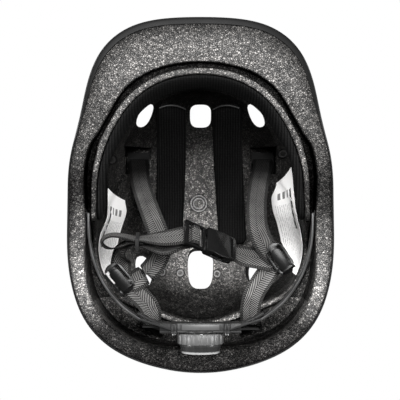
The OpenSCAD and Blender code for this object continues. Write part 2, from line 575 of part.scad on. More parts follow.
// Head ring: a band each side, on a plan oval behind the ears
ring_hw = 85.7 * wide;
ring_hl = 86 * long;
ring_y = 20 * long;
ring_n = 2.2;
band_end_x = 39.5;
stud_y = 16 * long;
stud_z = band_z + band_h / 2;
socket_r = 4.6;
socket_x = ring_hw + 0.7;
socket_len = 7.2;
function ring_pt(t, d) = [(ring_hw - d) * pow(cos(t), 2 / ring_n),
    ring_y + (ring_hl - d) * sign(sin(t)) * pow(abs(sin(t)), 2 / ring_n)];
function ring_angle(x) = acos(pow(x / ring_hw, ring_n / 2));
function band_plan(t0, t1, d0, d1) = concat(
    [for (i = [0:16]) ring_pt(t0 + (t1 - t0) * i / 16, d0)],
    [for (i = [16:-1:0]) ring_pt(t0 + (t1 - t0) * i / 16, d1)]);
module ring_band() color([0.1, 0.1, 0.105]) {
    translate([0, 0, band_z]) linear_extrude(height = band_h)
        polygon(band_plan(-3, ring_angle(band_end_x), 0, band_t));
    translate([ring_hw - 1, stud_y, stud_z]) rotate([0, 90, 0])
        cylinder(r = stud_r, h = socket_len, $fn = 32);
}
module ring_band_left() mirror([1, 0, 0]) ring_band();
module ring_band_right() ring_band();
module ring_sockets() color([0.2, 0.2, 0.2]) for (s = [0, 1]) mirror([s, 0, 0])
    translate([socket_x, stud_y, stud_z]) rotate([0, 90, 0]) difference() {
        cylinder(r = socket_r, h = socket_len, $fn = 32);
        translate([0, 0, -1]) cylinder(r = stud_r + run, h = socket_len, $fn = 32);
    }

// Cradle and dial share a frame whose Z runs backwards along the dial's axis, with Y down
dial_y = ring_pt(ring_angle(band_end_x), 0)[1] - 1.3;
dial_z = 18;
module at_dial() translate([0, dial_y, dial_z]) rotate([-90, 0, 0]) children();
floor_t = 1.2;
left_layer = 2.1;
right_layer = 3.8;
rack_t = 1.4;
tray_d = 5.6;
cover_d = 7.4;
pitch_r = gear_m * gear_n / 2;
tooth_p = PI * gear_m;
tip_r = pitch_r + gear_m;
root_r = pitch_r - 0.75 * gear_m;
base_r = pitch_r * cos(20);
backlash = 0.1;
rack_tip = pitch_r - 0.55 * gear_m;
rack_root = pitch_r + 1.15 * gear_m;
rack_plain = tip_r + 0.4;
rack_side = rack_root + 1.6;
slot_half = tip_r + rack_travel + 0.8;
rack_half = slot_half + 2;
inner_half = rack_half + rack_travel + 0.8;
tray_half = inner_half + 1.5;
tray_side = rack_side + 0.3 + 1.5;
tongue_half = 4;
ear_x = 20;
ear_y = tray_side + 0.9;
ear_r = 2.6;
cradle_screw_r = 1;

module cradle_outline() {
    square([2 * tray_half, 2 * tray_side], center = true);
    for (x = [-ear_x, ear_x], y = [-ear_y, ear_y]) translate([x, y]) circle(r = ear_r, $fn = 32);
}
// Wings widen the cradle against the head, inside the two bands
wing_end_x = 50;
panel_half = 14.2;
module cradle_wing() {
    t0 = ring_angle(wing_end_x);
    t1 = ring_angle(tray_half - 0.7);
    intersection() {
        linear_extrude(height = 40)
            polygon(band_plan(t0, t1, band_t + 1.7, band_t + 2.9));
        translate([0, ring_y + ring_hl, dial_z]) rotate([90, 0, 0]) linear_extrude(height = 60)
            polygon([[tray_half - 2, -8], [wing_end_x + 1, -5], [wing_end_x + 1, 5],
                [tray_half - 2, 8]]);
    }
}
// Braces under the racks run forwards from the dial to below the bands' ends
brace_drop = 1.5;
brace_plan = [[21.4, 5.4], [46, -2.8], [45.6, -4], [21.4, 4]];
module cradle_brace() at_dial() translate([0, tray_side + brace_drop, 0]) rotate([90, 0, 0])
    linear_extrude(height = brace_drop + 1.4) polygon(brace_plan);
module cradle_housing() color([0.09, 0.09, 0.095]) {
    at_dial() difference() {
        linear_extrude(height = tray_d) cradle_outline();
        translate([-inner_half, -rack_side - 0.3, floor_t])
            cube([2 * inner_half, 2 * rack_side + 0.6, tray_d]);
        for (s = [-1, 1]) translate([s * tray_half, 0, floor_t + tray_d / 2])
            cube([8, 2 * tongue_half + 0.8, tray_d], center = true);
        cylinder(r = 2.6, h = 10, center = true, $fn = 32);
        for (x = [-ear_x, ear_x], y = [-ear_y, ear_y]) translate([x, y, floor_t])
            cylinder(r = cradle_screw_r + 0.03, h = tray_d, $fn = 24);
    }
    for (s = [0, 1]) mirror([s, 0, 0]) {
        cradle_wing();
        cradle_brace();
    }
    // Raised panel on the underside between the screws
    at_dial() translate([-panel_half, tray_side - 0.2, 0.8]) cube([2 * panel_half, 0.9, 4.2]);
}
module cradle_cover() color([0.09, 0.09, 0.095]) at_dial()
    translate([0, 0, tray_d + 0.05]) difference() {
        linear_extrude(height = cover_d - tray_d - 0.05) {
            cradle_outline();
            circle(r = 12.6, $fn = 64);
        }
        translate([0, 0, -1]) cylinder(r = shaft_r + run, h = 10, $fn = 48);
        for (x = [-ear_x, ear_x], y = [-ear_y, ear_y]) translate([x, y, -1])
            cylinder(r = cradle_screw_r + 0.1, h = 10, $fn = 24);
    }
module cradle_screws() color([0.6, 0.6, 0.62]) at_dial()
    for (x = [-ear_x, ear_x], y = [-ear_y, ear_y]) translate([x, y, 0]) {
        translate([0, 0, 1.4]) cylinder(r = cradle_screw_r, h = cover_d, $fn = 24);
        translate([0, 0, cover_d + 0.02]) cylinder(r = 1.9, h = 1.2, $fn = 32);
    }

// Rack: a slotted strip with teeth on one edge of its slot and a tongue towards its band
module rack_plate() {
    flank = tan(20);
    half = tooth_p / 4 - backlash / 2;
    tip_half = half - (pitch_r - rack_tip) * flank;
    root_half = half + (rack_root - pitch_r) * flank;
    count = floor((slot_half - 0.6) / tooth_p);
    linear_extrude(height = rack_t) difference() {
        union() {
            square([2 * rack_half, 2 * rack_side], center = true);
            translate([-tongue_reach, -tongue_half])
                square([tongue_reach - rack_half + 1, 2 * tongue_half]);
        }
        polygon(concat([[-slot_half, -rack_plain], [slot_half, -rack_plain],
                [slot_half, rack_root]],
            [for (k = [count - 1:-1:-count]) let (x = (k + 0.5) * tooth_p)
                each [[x + root_half, rack_root], [x + tip_half, rack_tip],
                    [x - tip_half, rack_tip], [x - root_half, rack_root]]],
            [[-slot_half, rack_root]]));
    }
}
module rack_left() color([0.15, 0.15, 0.16]) at_dial()
    translate([0, 0, left_layer]) rack_plate();
module rack_right() color([0.15, 0.15, 0.16]) at_dial()
    translate([0, 0, right_layer]) rotate([0, 0, 180]) rack_plate();

// Pinion with involute flanks; one tooth points straight down at rest
function inv(c) = tan(c) - c * PI / 180;
function tooth_half(r) = (tooth_p / 4 - backlash / 2) / pitch_r * 180 / PI
    + (inv(20) - inv(r <= base_r ? 0 : acos(base_r / r))) * 180 / PI;
function polar(r, a) = [r * cos(a), r * sin(a)];
flank_radii = [base_r, base_r + 0.35 * (tip_r - base_r), base_r + 0.7 * (tip_r - base_r), tip_r];
module dial_pinion() color([0.75, 0.75, 0.72]) at_dial() translate([0, 0, 1.7]) difference() {
    linear_extrude(height = tray_d - 2) polygon([for (i = [0:gear_n - 1])
        let (c = 90 + i * 360 / gear_n) each concat([polar(root_r, c - tooth_half(base_r))],
            [for (r = flank_radii) polar(r, c - tooth_half(r))],
            [for (r = backwards(flank_radii)) polar(r, c + tooth_half(r))],
            [polar(root_r, c + tooth_half(base_r))])]);
    translate([0, 0, -1]) cylinder(r = spigot_r + 0.02, h = 10, $fn = 32);
}

// Dial: a core that carries the shaft and cone, a rubber grip ring and the pinion
spigot_r = 1.8;
knob_z = cover_d + 0.4;
grip_z = knob_z + 0.2;
core_r = knob_r - 4;
cone_z = grip_z + grip_l + 0.05;
spring_room = 2.4;
click_r = 12;
clicks = 20;
module dial_knob() color([0.12, 0.12, 0.125]) at_dial() difference() {
    union() {
        translate([0, 0, 2]) cylinder(r = spigot_r, h = 5, $fn = 32);
        translate([0, 0, tray_d - 0.2]) cylinder(r = shaft_r, h = 5, $fn = 48);
        difference() {
            union() {
                translate([0, 0, knob_z]) cylinder(r = core_r, h = cone_z - knob_z + 1, $fn = 64);
                translate([0, 0, cone_z]) cylinder(r1 = knob_r - 1.4, r2 = knob_r - 3,
                    h = cone_l, $fn = 64);
            }
            translate([0, 0, knob_z - 1]) difference() {
                cylinder(r = click_r, h = spring_room + 1, $fn = 64);
                cylinder(r = shaft_r + 1, h = spring_room + 1, $fn = 48);
                for (i = [0:clicks - 1]) rotate([0, 0, i * 360 / clicks])
                    translate([click_r, 0, 0]) cylinder(r = 0.45, h = spring_room + 1, $fn = 16);
            }
        }
    }
    translate([0, 0, cone_z + cone_l - 2.8]) cylinder(r = knob_r - 6.2, h = 5, $fn = 64);
    cylinder(r = 0.82, h = knob_z + 2, $fn = 24);
}
flutes = 18;
module dial_grip() color([0.2, 0.2, 0.2]) at_dial() translate([0, 0, grip_z]) difference() {
    cylinder(r = knob_r, h = grip_l, $fn = 72);
    translate([0, 0, -1]) cylinder(r = core_r + 0.03, h = grip_l + 2, $fn = 64);
    for (i = [0:flutes - 1]) rotate([0, 0, (i + 0.5) * 360 / flutes])
        translate([knob_r + 1.6, 0, -1]) cylinder(r = 2.2, h = grip_l + 2, $fn = 20);
}
module dial_screw() color([0.6, 0.6, 0.62]) at_dial() {
    translate([0, 0, 0.3]) cylinder(r = 2.2, h = 1.3, $fn = 32);
    translate([0, 0, 0.5]) cylinder(r = 0.8, h = knob_z + 1, $fn = 24);
}
// Detent spring: a flat washer on the cover with two arms that click over the knob's ribs
module detent_spring() color([0.7, 0.7, 0.72]) at_dial() translate([0, 0, cover_d + 0.03])
    linear_extrude(height = 0.9) {
        difference() {
            circle(r = 7.6, $fn = 48);
            circle(r = shaft_r + 1.4, $fn = 48);
        }
        for (a = [0, 180]) rotate([0, 0, a]) {
            translate([6.8, -1]) square([3.4, 2]);
            translate([10.2, 0]) circle(r = 1, $fn = 24);
        }
    }

outer_shell();
foam_liner();
brow_pad();
crown_pad_left();
crown_pad_right();
hook_patches();
strap_anchors();
label_left();
label_right();
front_strap_left();
front_strap_right();
rear_strap_left();
rear_strap_right();
chin_strap_left();
chin_strap_right();
strap_keeper();
divider_body_left();
divider_body_right();
divider_pins();
divider_lever_left();
divider_lever_right();
buckle_plug();
buckle_prong_upper();
buckle_prong_lower();
buckle_socket();
ring_band_left();
ring_band_right();
ring_sockets();
cradle_housing();
cradle_cover();
cradle_screws();
rack_left();
rack_right();
dial_knob();
dial_grip();
dial_pinion();
dial_screw();
detent_spring();
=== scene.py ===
"""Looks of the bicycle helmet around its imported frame: smooth shell and bead foam, soft pads,
herringbone webbing, glossy buckle and dividers, and the head ring with its dial."""

import json
import math

import bmesh
import bpy
import numpy as np
from mathutils import Matrix, Vector


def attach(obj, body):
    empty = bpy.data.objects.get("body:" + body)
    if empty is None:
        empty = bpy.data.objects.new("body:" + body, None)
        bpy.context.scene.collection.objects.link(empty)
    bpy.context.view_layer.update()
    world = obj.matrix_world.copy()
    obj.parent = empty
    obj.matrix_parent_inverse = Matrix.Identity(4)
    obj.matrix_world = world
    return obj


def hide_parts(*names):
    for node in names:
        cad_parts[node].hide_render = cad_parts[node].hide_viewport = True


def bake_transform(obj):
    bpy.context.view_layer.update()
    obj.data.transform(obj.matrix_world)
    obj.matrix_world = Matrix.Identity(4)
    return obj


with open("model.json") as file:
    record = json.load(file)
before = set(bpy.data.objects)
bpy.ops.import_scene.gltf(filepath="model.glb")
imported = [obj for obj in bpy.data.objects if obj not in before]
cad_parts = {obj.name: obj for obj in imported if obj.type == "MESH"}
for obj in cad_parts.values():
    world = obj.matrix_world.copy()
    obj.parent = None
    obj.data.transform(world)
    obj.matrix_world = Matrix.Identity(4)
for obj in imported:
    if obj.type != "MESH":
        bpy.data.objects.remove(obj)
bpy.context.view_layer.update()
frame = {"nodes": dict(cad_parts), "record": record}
NODES = frame["nodes"]
MM = 0.001

# Fineness of shell and foam: sections round the helmet and rows up the dome and down the cavity
SECTIONS, ROWS = ((216, 30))

# Measures shared with the CAD source, in millimetres and degrees
RIM_W, RIM_L, CROWN_H, CROWN_FOAM = 203.6, 277.4, 150.0, 24.0
HEAD_H = CROWN_H - CROWN_FOAM
SHELL_T, BOND, LIP_W, EDGE_DROP, PAD_GAP, GROOVE_MIN = 1.0, 0.1, 4.4, 4.0, 1.7, 3.0
DOME_N = 2.3
# Cosine series by angle from the visor, as shares of the rim's ellipse
RIM_SERIES = [1.0375, 0.0039, 0.0224, 0.0223, -0.0409, -0.01, -0.02, -0.0118, -0.0004,
              0.0007, 0.0035]
FLANGE_SERIES = [0.8677, -0.0664, -0.0209, 0.0031, -0.0411, 0.0178, -0.0093, -0.0038]
HEAD_SERIES = [0.7606, -0.0417, -0.044, 0.0274, -0.0357, 0.0045, 0.0064, -0.0117, 0.0042]
# Tables by angle from the visor. Heights of the shell's edge, the foam's underside, the lip and
# the groove's floor
EDGE_Z = [[0, 50], [25, 47], [40, 38], [52, 26], [62, 16], [72, 10.5], [82, 12.5], [92, 15.5],
          [101, 16], [110, 13], [121, 8], [133, 6], [148, 13], [162, 25], [170, 33.5], [180, 39]]
UNDER_Z = [[0, 36], [25, 34], [40, 27], [52, 16], [62, 6], [68, 0], [75, 0], [83, 4],
           [92, 9], [100, 10], [108, 7.5], [118, 2], [127, 0], [138, 0], [150, 9], [162, 22],
           [170, 30.5], [180, 35.5]]
LIP_Z = [[0, 30], [30, 29], [50, 22], [65, 12], [78, 7], [88, 9], [97, 10], [102, 11], [108, 29],
         [113, 37], [118, 42], [150, 45], [180, 45]]
GROOVE_Z = [[0, 42], [40, 37], [60, 26], [80, 29], [104, 30], [112, 40], [118, 43.6],
            [135, 46], [150, 50], [180, 50]]
# How far the groove's outer side is drawn in near the visor, and how much wider the lip gets
GROOVE_IN = [[0, 1.1], [17, 1.5], [34, 1.4], [42, 2.6], [49, 3.6], [58, 3.1], [66, 0.4], [72, 0],
             [180, 0]]
LIP_MORE = [[0, 0.5], [17, 0.9], [40, 1.1], [58, 1.9], [70, 0.7], [85, 0.4], [104, 0], [180, 0]]
# Reach and height of the flare above the edge, and width of the return under it
FLARE = [[0, 26], [25, 25], [36, 20], [46, 10], [58, 4], [90, 3], [135, 8], [180, 9]]
FLARE_H = [[0, 34], [36, 30], [60, 18], [90, 16], [135, 24], [180, 26]]
RETURN_W = [[0, 6], [25, 6], [45, 4.5], [62, 1.4], [75, 1], [180, 1]]
# Powers that fade the flare and crowd the rows towards the edge, and the angles of the last rows
FLARE_POWER, ROW_POWER, OUTER_TOP, ROOF_TOP = 2.2, 1.4, 89.2, 89.0
# Share of its width by which the rim's underside bows, and the height from which it does so fully
UNDER_BOW, BOW_FULL_Z = 0.06, 20


def slope_at(t, i):
    if i <= 0 or i >= len(t) - 1:
        return 0.0
    d0 = (t[i][1] - t[i - 1][1]) / (t[i][0] - t[i - 1][0])
    d1 = (t[i + 1][1] - t[i][1]) / (t[i + 1][0] - t[i][0])
    return 0.0 if d0 * d1 <= 0 else 2 * d0 * d1 / (d0 + d1)


def track(t, angle):
    """Value of a table at an angle, the same on either side, without overshoot between points."""
    a = abs(((angle + 540) % 360) - 180)
    i = 0
    while i < len(t) - 2 and a > t[i + 1][0]:
        i += 1
    h = t[i + 1][0] - t[i][0]
    u = (a - t[i][0]) / h
    m0, m1 = slope_at(t, i) * h, slope_at(t, i + 1) * h
    return (t[i][1] * (1 + 2 * u) * (1 - u) ** 2 + m0 * u * (1 - u) ** 2
            + t[i + 1][1] * u * u * (3 - 2 * u) + m1 * u * u * (u - 1))


def sind(a):
    return math.sin(math.radians(a))


def cosd(a):
    return math.cos(math.radians(a))


def ellipse_r(a):
    return 1 / math.hypot(2 * sind(a) / RIM_W, 2 * cosd(a) / RIM_L)


def series(c, a):
    return sum(k * cosd(i * a) for i, k in enumerate(c))


def rim_r(a):
    return ellipse_r(a) * series(RIM_SERIES, a)


def flange_r(a):
    return ellipse_r(a) * series(FLANGE_SERIES, a) - track(GROOVE_IN, a)


def head_r(a):
    return ellipse_r(a) * series(HEAD_SERIES, a)


def dome_k(h):
    return max(0.0, 1 - h ** DOME_N) ** (1 / DOME_N)


def outer_face(a):
    """Outside of the shell at an angle: radius and height from the return up to the crown."""
    r, ze, fh = rim_r(a), track(EDGE_Z, a), track(FLARE_H, a)
    rd, ret = r - track(FLARE, a), track(RETURN_W, a)
    amp = r - rd * dome_k(ze / CROWN_H)
    t0 = math.degrees(math.asin((ze / CROWN_H) ** (DOME_N / 2)))
    pts = [(r - ret, ze - EDGE_DROP), (r - 0.35 * ret, ze - 0.6 * EDGE_DROP)]
    for i in range(ROWS + 1):
        t = t0 + (OUTER_TOP - t0) * (i / ROWS) ** ROW_POWER
        z = CROWN_H * sind(t) ** (2 / DOME_N)
        s = max(0.0, 1 - (z - ze) / fh)
        pts.append((rd * max(0.0, cosd(t)) ** (2 / DOME_N) + amp * s ** FLARE_POWER, z))
    return np.array(pts)


def inset(p, d):
    """The same profile a distance further in."""
    seg = np.diff(p, axis=0)
    seg /= np.linalg.norm(seg, axis=1)[:, None]
    left = np.stack([-seg[:, 1], seg[:, 0]], 1)
    u = np.vstack([left[:1], left])
    v = np.vstack([left, left[-1:]])
    return p + d * (u + v) / (1 + (u * v).sum(1))[:, None]


def cavity_r(a):
    return head_r(a) / dome_k(track(LIP_Z, a) / HEAD_H)


def wall_at(a, z):
    return cavity_r(a) * dome_k(z / HEAD_H)


def roof_z(x, y):
    a = math.degrees(math.atan2(x, -y))
    return HEAD_H * max(0.0, 1 - (math.hypot(x, y) / cavity_r(a)) ** DOME_N) ** (1 / DOME_N)


def roof_down(x, y):
    """Direction from the roof into the cavity, with the roof's slope taken over a millimetre."""
    v = np.array([roof_z(x + 0.5, y) - roof_z(x - 0.5, y),
                  roof_z(x, y + 0.5) - roof_z(x, y - 0.5), -1.0])
    return v / np.linalg.norm(v)


def in_plan(a, r, z):
    return np.array([r * sind(a), -r * cosd(a), z])


def off_wall(a, z, d):
    p = in_plan(a, wall_at(a, z), z)
    return p + d * roof_down(p[0], p[1])


def foam_face(a):
    """The liner at an angle: from the crown's outside over rim, groove and lip to the roof."""
    r, ze, ret = rim_r(a), track(EDGE_Z, a), track(RETURN_W, a)
    rf, zu = flange_r(a), track(UNDER_Z, a)
    ri, zl = head_r(a), track(LIP_Z, a)
    rl, zg = min(ri + LIP_W + track(LIP_MORE, a), rf - GROOVE_MIN), track(GROOVE_Z, a)
    r0, z0 = r - ret - SHELL_T, ze - EDGE_DROP
    t0 = math.degrees(math.asin(((zl + 1) / HEAD_H) ** (DOME_N / 2)))
    pts = [tuple(p) for p in inset(outer_face(a), SHELL_T + BOND)[::-1]]
    bow = UNDER_BOW * (r0 - rf) * sind(90 * min(1, zu / BOW_FULL_Z))
    pts += [(r0 - 0.6, z0)]
    pts += [(r0 + (rf - r0) * u, z0 + (zu - z0) * u - bow * 4 * u * (1 - u))
            for u in (0.22, 0.45, 0.7, 0.88)]
    pts += [(rf + 1.2, zu), (rf, zu + 1.2), (rf - 0.1, 0.5 * (zu + zg)), (rf - 0.2, zg - 0.6),
            (0.5 * (rf + rl), zg - 0.1), (rl + 0.2, zg), (rl + 0.1, 0.5 * (zg + zl)),
            (rl, zl + 1), (rl - 0.8, zl), (ri + 0.8, zl)]
    for i in range(ROWS + 1):
        t = t0 + (ROOF_TOP - t0) * i / ROWS
        pts.append((cavity_r(a) * cosd(t) ** (2 / DOME_N), HEAD_H * sind(t) ** (2 / DOME_N)))
    return np.array(pts)


def softened(p):
    """Corner cutting that keeps both ends."""
    q = [p[0]]
    for a, b in zip(p[:-1], p[1:]):
        q += [0.8 * a + 0.2 * b, 0.2 * a + 0.8 * b]
    return np.array(q + [p[-1]])


# Mesh helpers
def mesh_object(name, verts, faces, uvs=None, smooth=True):
    me = bpy.data.meshes.new(name)
    me.from_pydata([tuple(map(float, v)) for v in verts], [], [tuple(map(int, f)) for f in faces])
    if uvs is not None:
        layer = me.uv_layers.new(name="UVMap")
        for poly in me.polygons:
            for li, vi in zip(poly.loop_indices, poly.vertices):
                layer.data[li].uv = uvs[vi]
    me.validate()
    me.update()
    if smooth:
        me.polygons.foreach_set("use_smooth", [True] * len(me.polygons))
    ob = bpy.data.objects.new(name, me)
    bpy.context.scene.collection.objects.link(ob)
    return ob


def ring_faces(count, n):
    """Faces over a number of rings of n points, with a cap at either end."""
    faces = []
    for i in range(count - 1):
        for j in range(n):
            a, b = i * n + j, i * n + (j + 1) % n
            faces.append((a, b, b + n, a + n))
    return faces + [tuple(range(n - 1, -1, -1)), tuple((count - 1) * n + j for j in range(n))]


def skin(name, rings):
    """Closed skin over rings of equal length."""
    rings = [np.asarray(r) for r in rings]
    ob = mesh_object(name, np.concatenate(rings) * MM, ring_faces(len(rings), len(rings[0])))
    outward(ob)
    return ob


def outward(ob):
    bm = bmesh.new()
    bm.from_mesh(ob.data)
    bmesh.ops.recalc_face_normals(bm, faces=bm.faces)
    bm.to_mesh(ob.data)
    bm.free()


def apply_modifiers(ob):
    deps = bpy.context.evaluated_depsgraph_get()
    me = bpy.data.meshes.new_from_object(ob.evaluated_get(deps), depsgraph=deps)
    ob.modifiers.clear()
    ob.data = me


def sharp_by_angle(ob, degrees):
    """Smooth shading with sharp edges where faces meet at more than an angle."""
    me = ob.data
    me.polygons.foreach_set("use_smooth", [True] * len(me.polygons))
    bm = bmesh.new()
    bm.from_mesh(me)
    limit = math.radians(degrees)
    for e in bm.edges:
        e.smooth = len(e.link_faces) == 2 and e.calc_face_angle(0) < limit
    bm.to_mesh(me)
    bm.free()


def cut(ob, cutter):
    m = ob.modifiers.new("cut", "BOOLEAN")
    m.operation, m.solver, m.object = "DIFFERENCE", "EXACT", cutter
    apply_modifiers(ob)
    bpy.data.objects.remove(cutter)


BODIES = frame["record"]["behaviour"]["bodies"]
SLOTS = {s["node"]: s["material_slot"] for s in frame["record"]["subparts"]}


def body_of_node(node):
    return next(b for b, nodes in BODIES.items() if node in nodes)


# Points of a CAD node closer than this are joined, in metres, and flatter seams are dissolved
WELD, FLAT_SEAM = 2e-6, math.radians(1.5)


def rounded(node, width):
    """A bevelled copy of a CAD node that stands for it."""
    me = NODES[node].data.copy()
    ob = bpy.data.objects.new(node + "_fine", me)
    bpy.context.scene.collection.objects.link(ob)
    bm = bmesh.new()
    bm.from_mesh(me)
    bmesh.ops.remove_doubles(bm, verts=bm.verts, dist=WELD)
    bmesh.ops.dissolve_limit(bm, angle_limit=FLAT_SEAM, verts=bm.verts, edges=bm.edges)
    bm.to_mesh(me)
    bm.free()
    b = ob.modifiers.new("bevel", "BEVEL")
    b.width, b.segments, b.limit_method = width * MM, 2, "ANGLE"
    b.angle_limit = math.radians(30)
    b.harden_normals = False
    b.use_clamp_overlap = True
    apply_modifiers(ob)
    sharp_by_angle(ob, 40)
    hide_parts(node)
    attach(ob, body_of_node(node))
    return ob


# Materials
def grey(v, warm=0.0):
    return (v * (1 + warm), v, v * (1 - warm), 1)


class Nodes:
    """Short way to write a node tree."""

    def __init__(self, name):
        self.mat = bpy.data.materials.new(name)
        self.mat.use_nodes = True
        self.tree = self.mat.node_tree
        self.tree.nodes.clear()
        self.out = self.add("ShaderNodeOutputMaterial")
        self.bsdf = self.add("ShaderNodeBsdfPrincipled")
        self.link(self.bsdf.outputs[0], self.out.inputs[0])

    def add(self, kind, **props):
        n = self.tree.nodes.new(kind)
        for k, v in props.items():
            setattr(n, k, v)
        return n

    def link(self, a, b):
        self.tree.links.new(a, b)

    def put(self, socket, value):
        if isinstance(value, bpy.types.NodeSocket):
            self.link(value, socket)
        else:
            socket.default_value = value

    def math(self, op, a, b=0.0, c=0.0, clamp=False):
        n = self.add("ShaderNodeMath", operation=op, use_clamp=clamp)
        for s, v in zip(n.inputs, (a, b, c)):
            self.put(s, v)
        return n.outputs[0]

    def product(self, a, b):
        return self.math("MULTIPLY", a, b)

    def coords(self, kind="Object"):
        return self.add("ShaderNodeTexCoord").outputs[kind]

    def split(self, v):
        n = self.add("ShaderNodeSeparateXYZ")
        self.link(v, n.inputs[0])
        return n.outputs

    def noise(self, vector, scale, detail=3.0, rough=0.55):
        n = self.add("ShaderNodeTexNoise")
        self.link(vector, n.inputs["Vector"])
        n.inputs["Scale"].default_value = scale
        n.inputs["Detail"].default_value = detail
        n.inputs["Roughness"].default_value = rough
        return n.outputs["Fac"]

    def voronoi(self, vector, scale, feature="F1"):
        n = self.add("ShaderNodeTexVoronoi", feature=feature)
        self.link(vector, n.inputs["Vector"])
        n.inputs["Scale"].default_value = scale
        return n

    def hollow(self, reach, only_local=False):
        """How open a place is, from 0 in a hollow to 1, within a reach in metres."""
        n = self.add("ShaderNodeAmbientOcclusion", samples=8, only_local=only_local)
        n.inputs["Distance"].default_value = reach
        return n.outputs["AO"]

    def ramp(self, fac, *stops):
        """Greys by place; each stop is a place, a value and maybe a warmth."""
        n = self.add("ShaderNodeValToRGB")
        self.link(fac, n.inputs[0])
        elements = n.color_ramp.elements
        while len(elements) < len(stops):
            elements.new(0.5)
        for e, (place, *tone) in zip(elements, stops):
            e.position = place
            e.color = grey(*tone)
        return n.outputs[0]

    def mix(self, fac, a, b, mode="MIX"):
        n = self.add("ShaderNodeMix", data_type="RGBA", blend_type=mode)
        self.put(n.inputs[0], fac)
        self.put(n.inputs[6], a)
        self.put(n.inputs[7], b)
        return n.outputs[2]

    def times(self, a, b):
        return self.mix(1.0, a, b, "MULTIPLY")

    def bump(self, height, strength, distance):
        n = self.add("ShaderNodeBump")
        n.inputs["Strength"].default_value = strength
        n.inputs["Distance"].default_value = distance
        self.link(height, n.inputs["Height"])
        self.link(n.outputs[0], self.bsdf.inputs["Normal"])

    def set(self, **values):
        names = {"rough": "Roughness", "spec": "Specular IOR Level", "metal": "Metallic",
                 "coat": "Coat Weight", "coat_rough": "Coat Roughness", "color": "Base Color"}
        for k, v in values.items():
            self.put(self.bsdf.inputs[names[k]], v)


# Ring marks of the foam's mould on the cavity wall: place in plan and radius
MOULD_MARKS = [(-1.4, 7.1, 7.6), (-1.4, 7.1, 5.4), (-16.6, 64.1, 3.3), (-31.4, 63.3, 3.3),
               (13.6, 64.9, 3.3), (-70.0, -27.7, 3.4), (65.4, -32.5, 3.4)]
# Step from a mark's dark line in to its pale one, the width of either, and the least height
MARK_STEP, MARK_LINE, MARK_FROM = 1.1, 0.8, 50

# Painted light and shade of the rim's underside and of the roof against the place along the
# helmet, in metres
PAINTED_RIM_SHADING = [(-0.085, 0.88), (-0.05, 1.15), (-0.026, 1.1), (-0.008, 0.32), (0.01, 0.2), (0.024, 0.8),
         (0.045, 1.75), (0.073, 1.9), (0.1, 0.42), (0.126, 0.3)]
PAINTED_ROOF_SHADING = [(-0.045, 0.42), (-0.02, 1.15), (0.046, 1.35), (0.056, 3.7), (0.068, 3.2),
              (0.08, 0.7)]
RIM_TOP, ROOF_FOOT, SHADING_PEAK = 0.054, 0.07, 4.0
# Places along the helmet that the two tables may use
SHADING_FROM, SHADING_SPAN = -0.14, 0.28
# Painted light that brightens the lip at the nape against the painted shade of its slope: its top,
# its front, its share of the rim, and its gain
NAPE_TOP, NAPE_FRONT, NAPE_RIM, NAPE_LIGHT_GAIN = 0.05, 0.08, 0.02, 3.0
# Beads of the foam to a metre
BEADS = 720


def mould_lines(n, x, y, z):
    """Dark and pale lines of the mould's ring marks: painted shade in each groove and a painted
    highlight on its pale edge.
    """
    flat = n.add("ShaderNodeCombineXYZ")
    n.link(x, flat.inputs[0])
    n.link(y, flat.inputs[1])
    dark = pale = 0.0
    for mx, my, radius in MOULD_MARKS:
        gap = n.add("ShaderNodeVectorMath", operation="DISTANCE")
        n.link(flat.outputs[0], gap.inputs[0])
        gap.inputs[1].default_value = (mx * MM, my * MM, 0)
        lines = []
        for reach in (radius, radius - MARK_STEP):
            off = n.math("ABSOLUTE", n.math("SUBTRACT", gap.outputs["Value"], reach * MM))
            lines.append(n.math("SUBTRACT", 1.0, n.math("DIVIDE", off, MARK_LINE * MM),
                                clamp=True))
        dark, pale = n.math("MAXIMUM", dark, lines[0]), n.math("MAXIMUM", pale, lines[1])
    high = n.math("GREATER_THAN", z, MARK_FROM * MM)
    return n.product(dark, high), n.product(pale, high)


def painted_foam_shading(n, cloud, y, z):
    """Painted light and shade as a factor on the foam's colour and shine."""
    # Painted shade: steep walls are darker than the faces across the mould, by the tilt of their
    # normal alone
    facing = n.math("ABSOLUTE", n.split(n.coords("Normal"))[2])
    shade = n.ramp(facing, (0.3, 0.13), (0.62, 0.28), (0.87, 0.5), (0.965, 1.0))
    # Painted light and shade on parts of the rim's underside and of the roof, told from the place
    # along the helmet
    drift = n.product(n.math("SUBTRACT", cloud, 0.5), 0.03)
    back = n.math("DIVIDE", n.math("SUBTRACT", n.math("ADD", y, drift), SHADING_FROM), SHADING_SPAN)
    under, roof = n.math("LESS_THAN", z, RIM_TOP), n.math("GREATER_THAN", z, ROOF_FOOT)
    for table, zone in ((PAINTED_RIM_SHADING, under), (PAINTED_ROOF_SHADING, roof)):
        painted_shading = n.ramp(back, *[((place - SHADING_FROM) / SHADING_SPAN, k / SHADING_PEAK)
                               for place, k in table])
        full = n.times(painted_shading, grey(SHADING_PEAK))
        shade = n.mix(zone, shade, n.times(shade, full))
    # Painted shade in the foam's own hollows
    shade = n.times(shade, n.ramp(n.hollow(0.04, True), (0.3, 0.08), (0.62, 0.36), (0.88, 1.0)))
    rim = n.add("ShaderNodeAttribute", attribute_name="rim_place").outputs["Fac"]
    # Painted light: the lip at the nape is made brighter
    low_rear = n.product(n.math("LESS_THAN", z, NAPE_TOP), n.math("GREATER_THAN", y, NAPE_FRONT))
    nape = n.product(n.math("LESS_THAN", rim, NAPE_RIM), low_rear)
    shade = n.mix(nape, shade, n.times(shade, grey(NAPE_LIGHT_GAIN)))
    # Painted shade, darker towards the shell's edge of the rim's underside
    return n.times(shade, n.ramp(rim, (0.5, 1.0), (0.85, 0.7), (1.0, 0.45)))


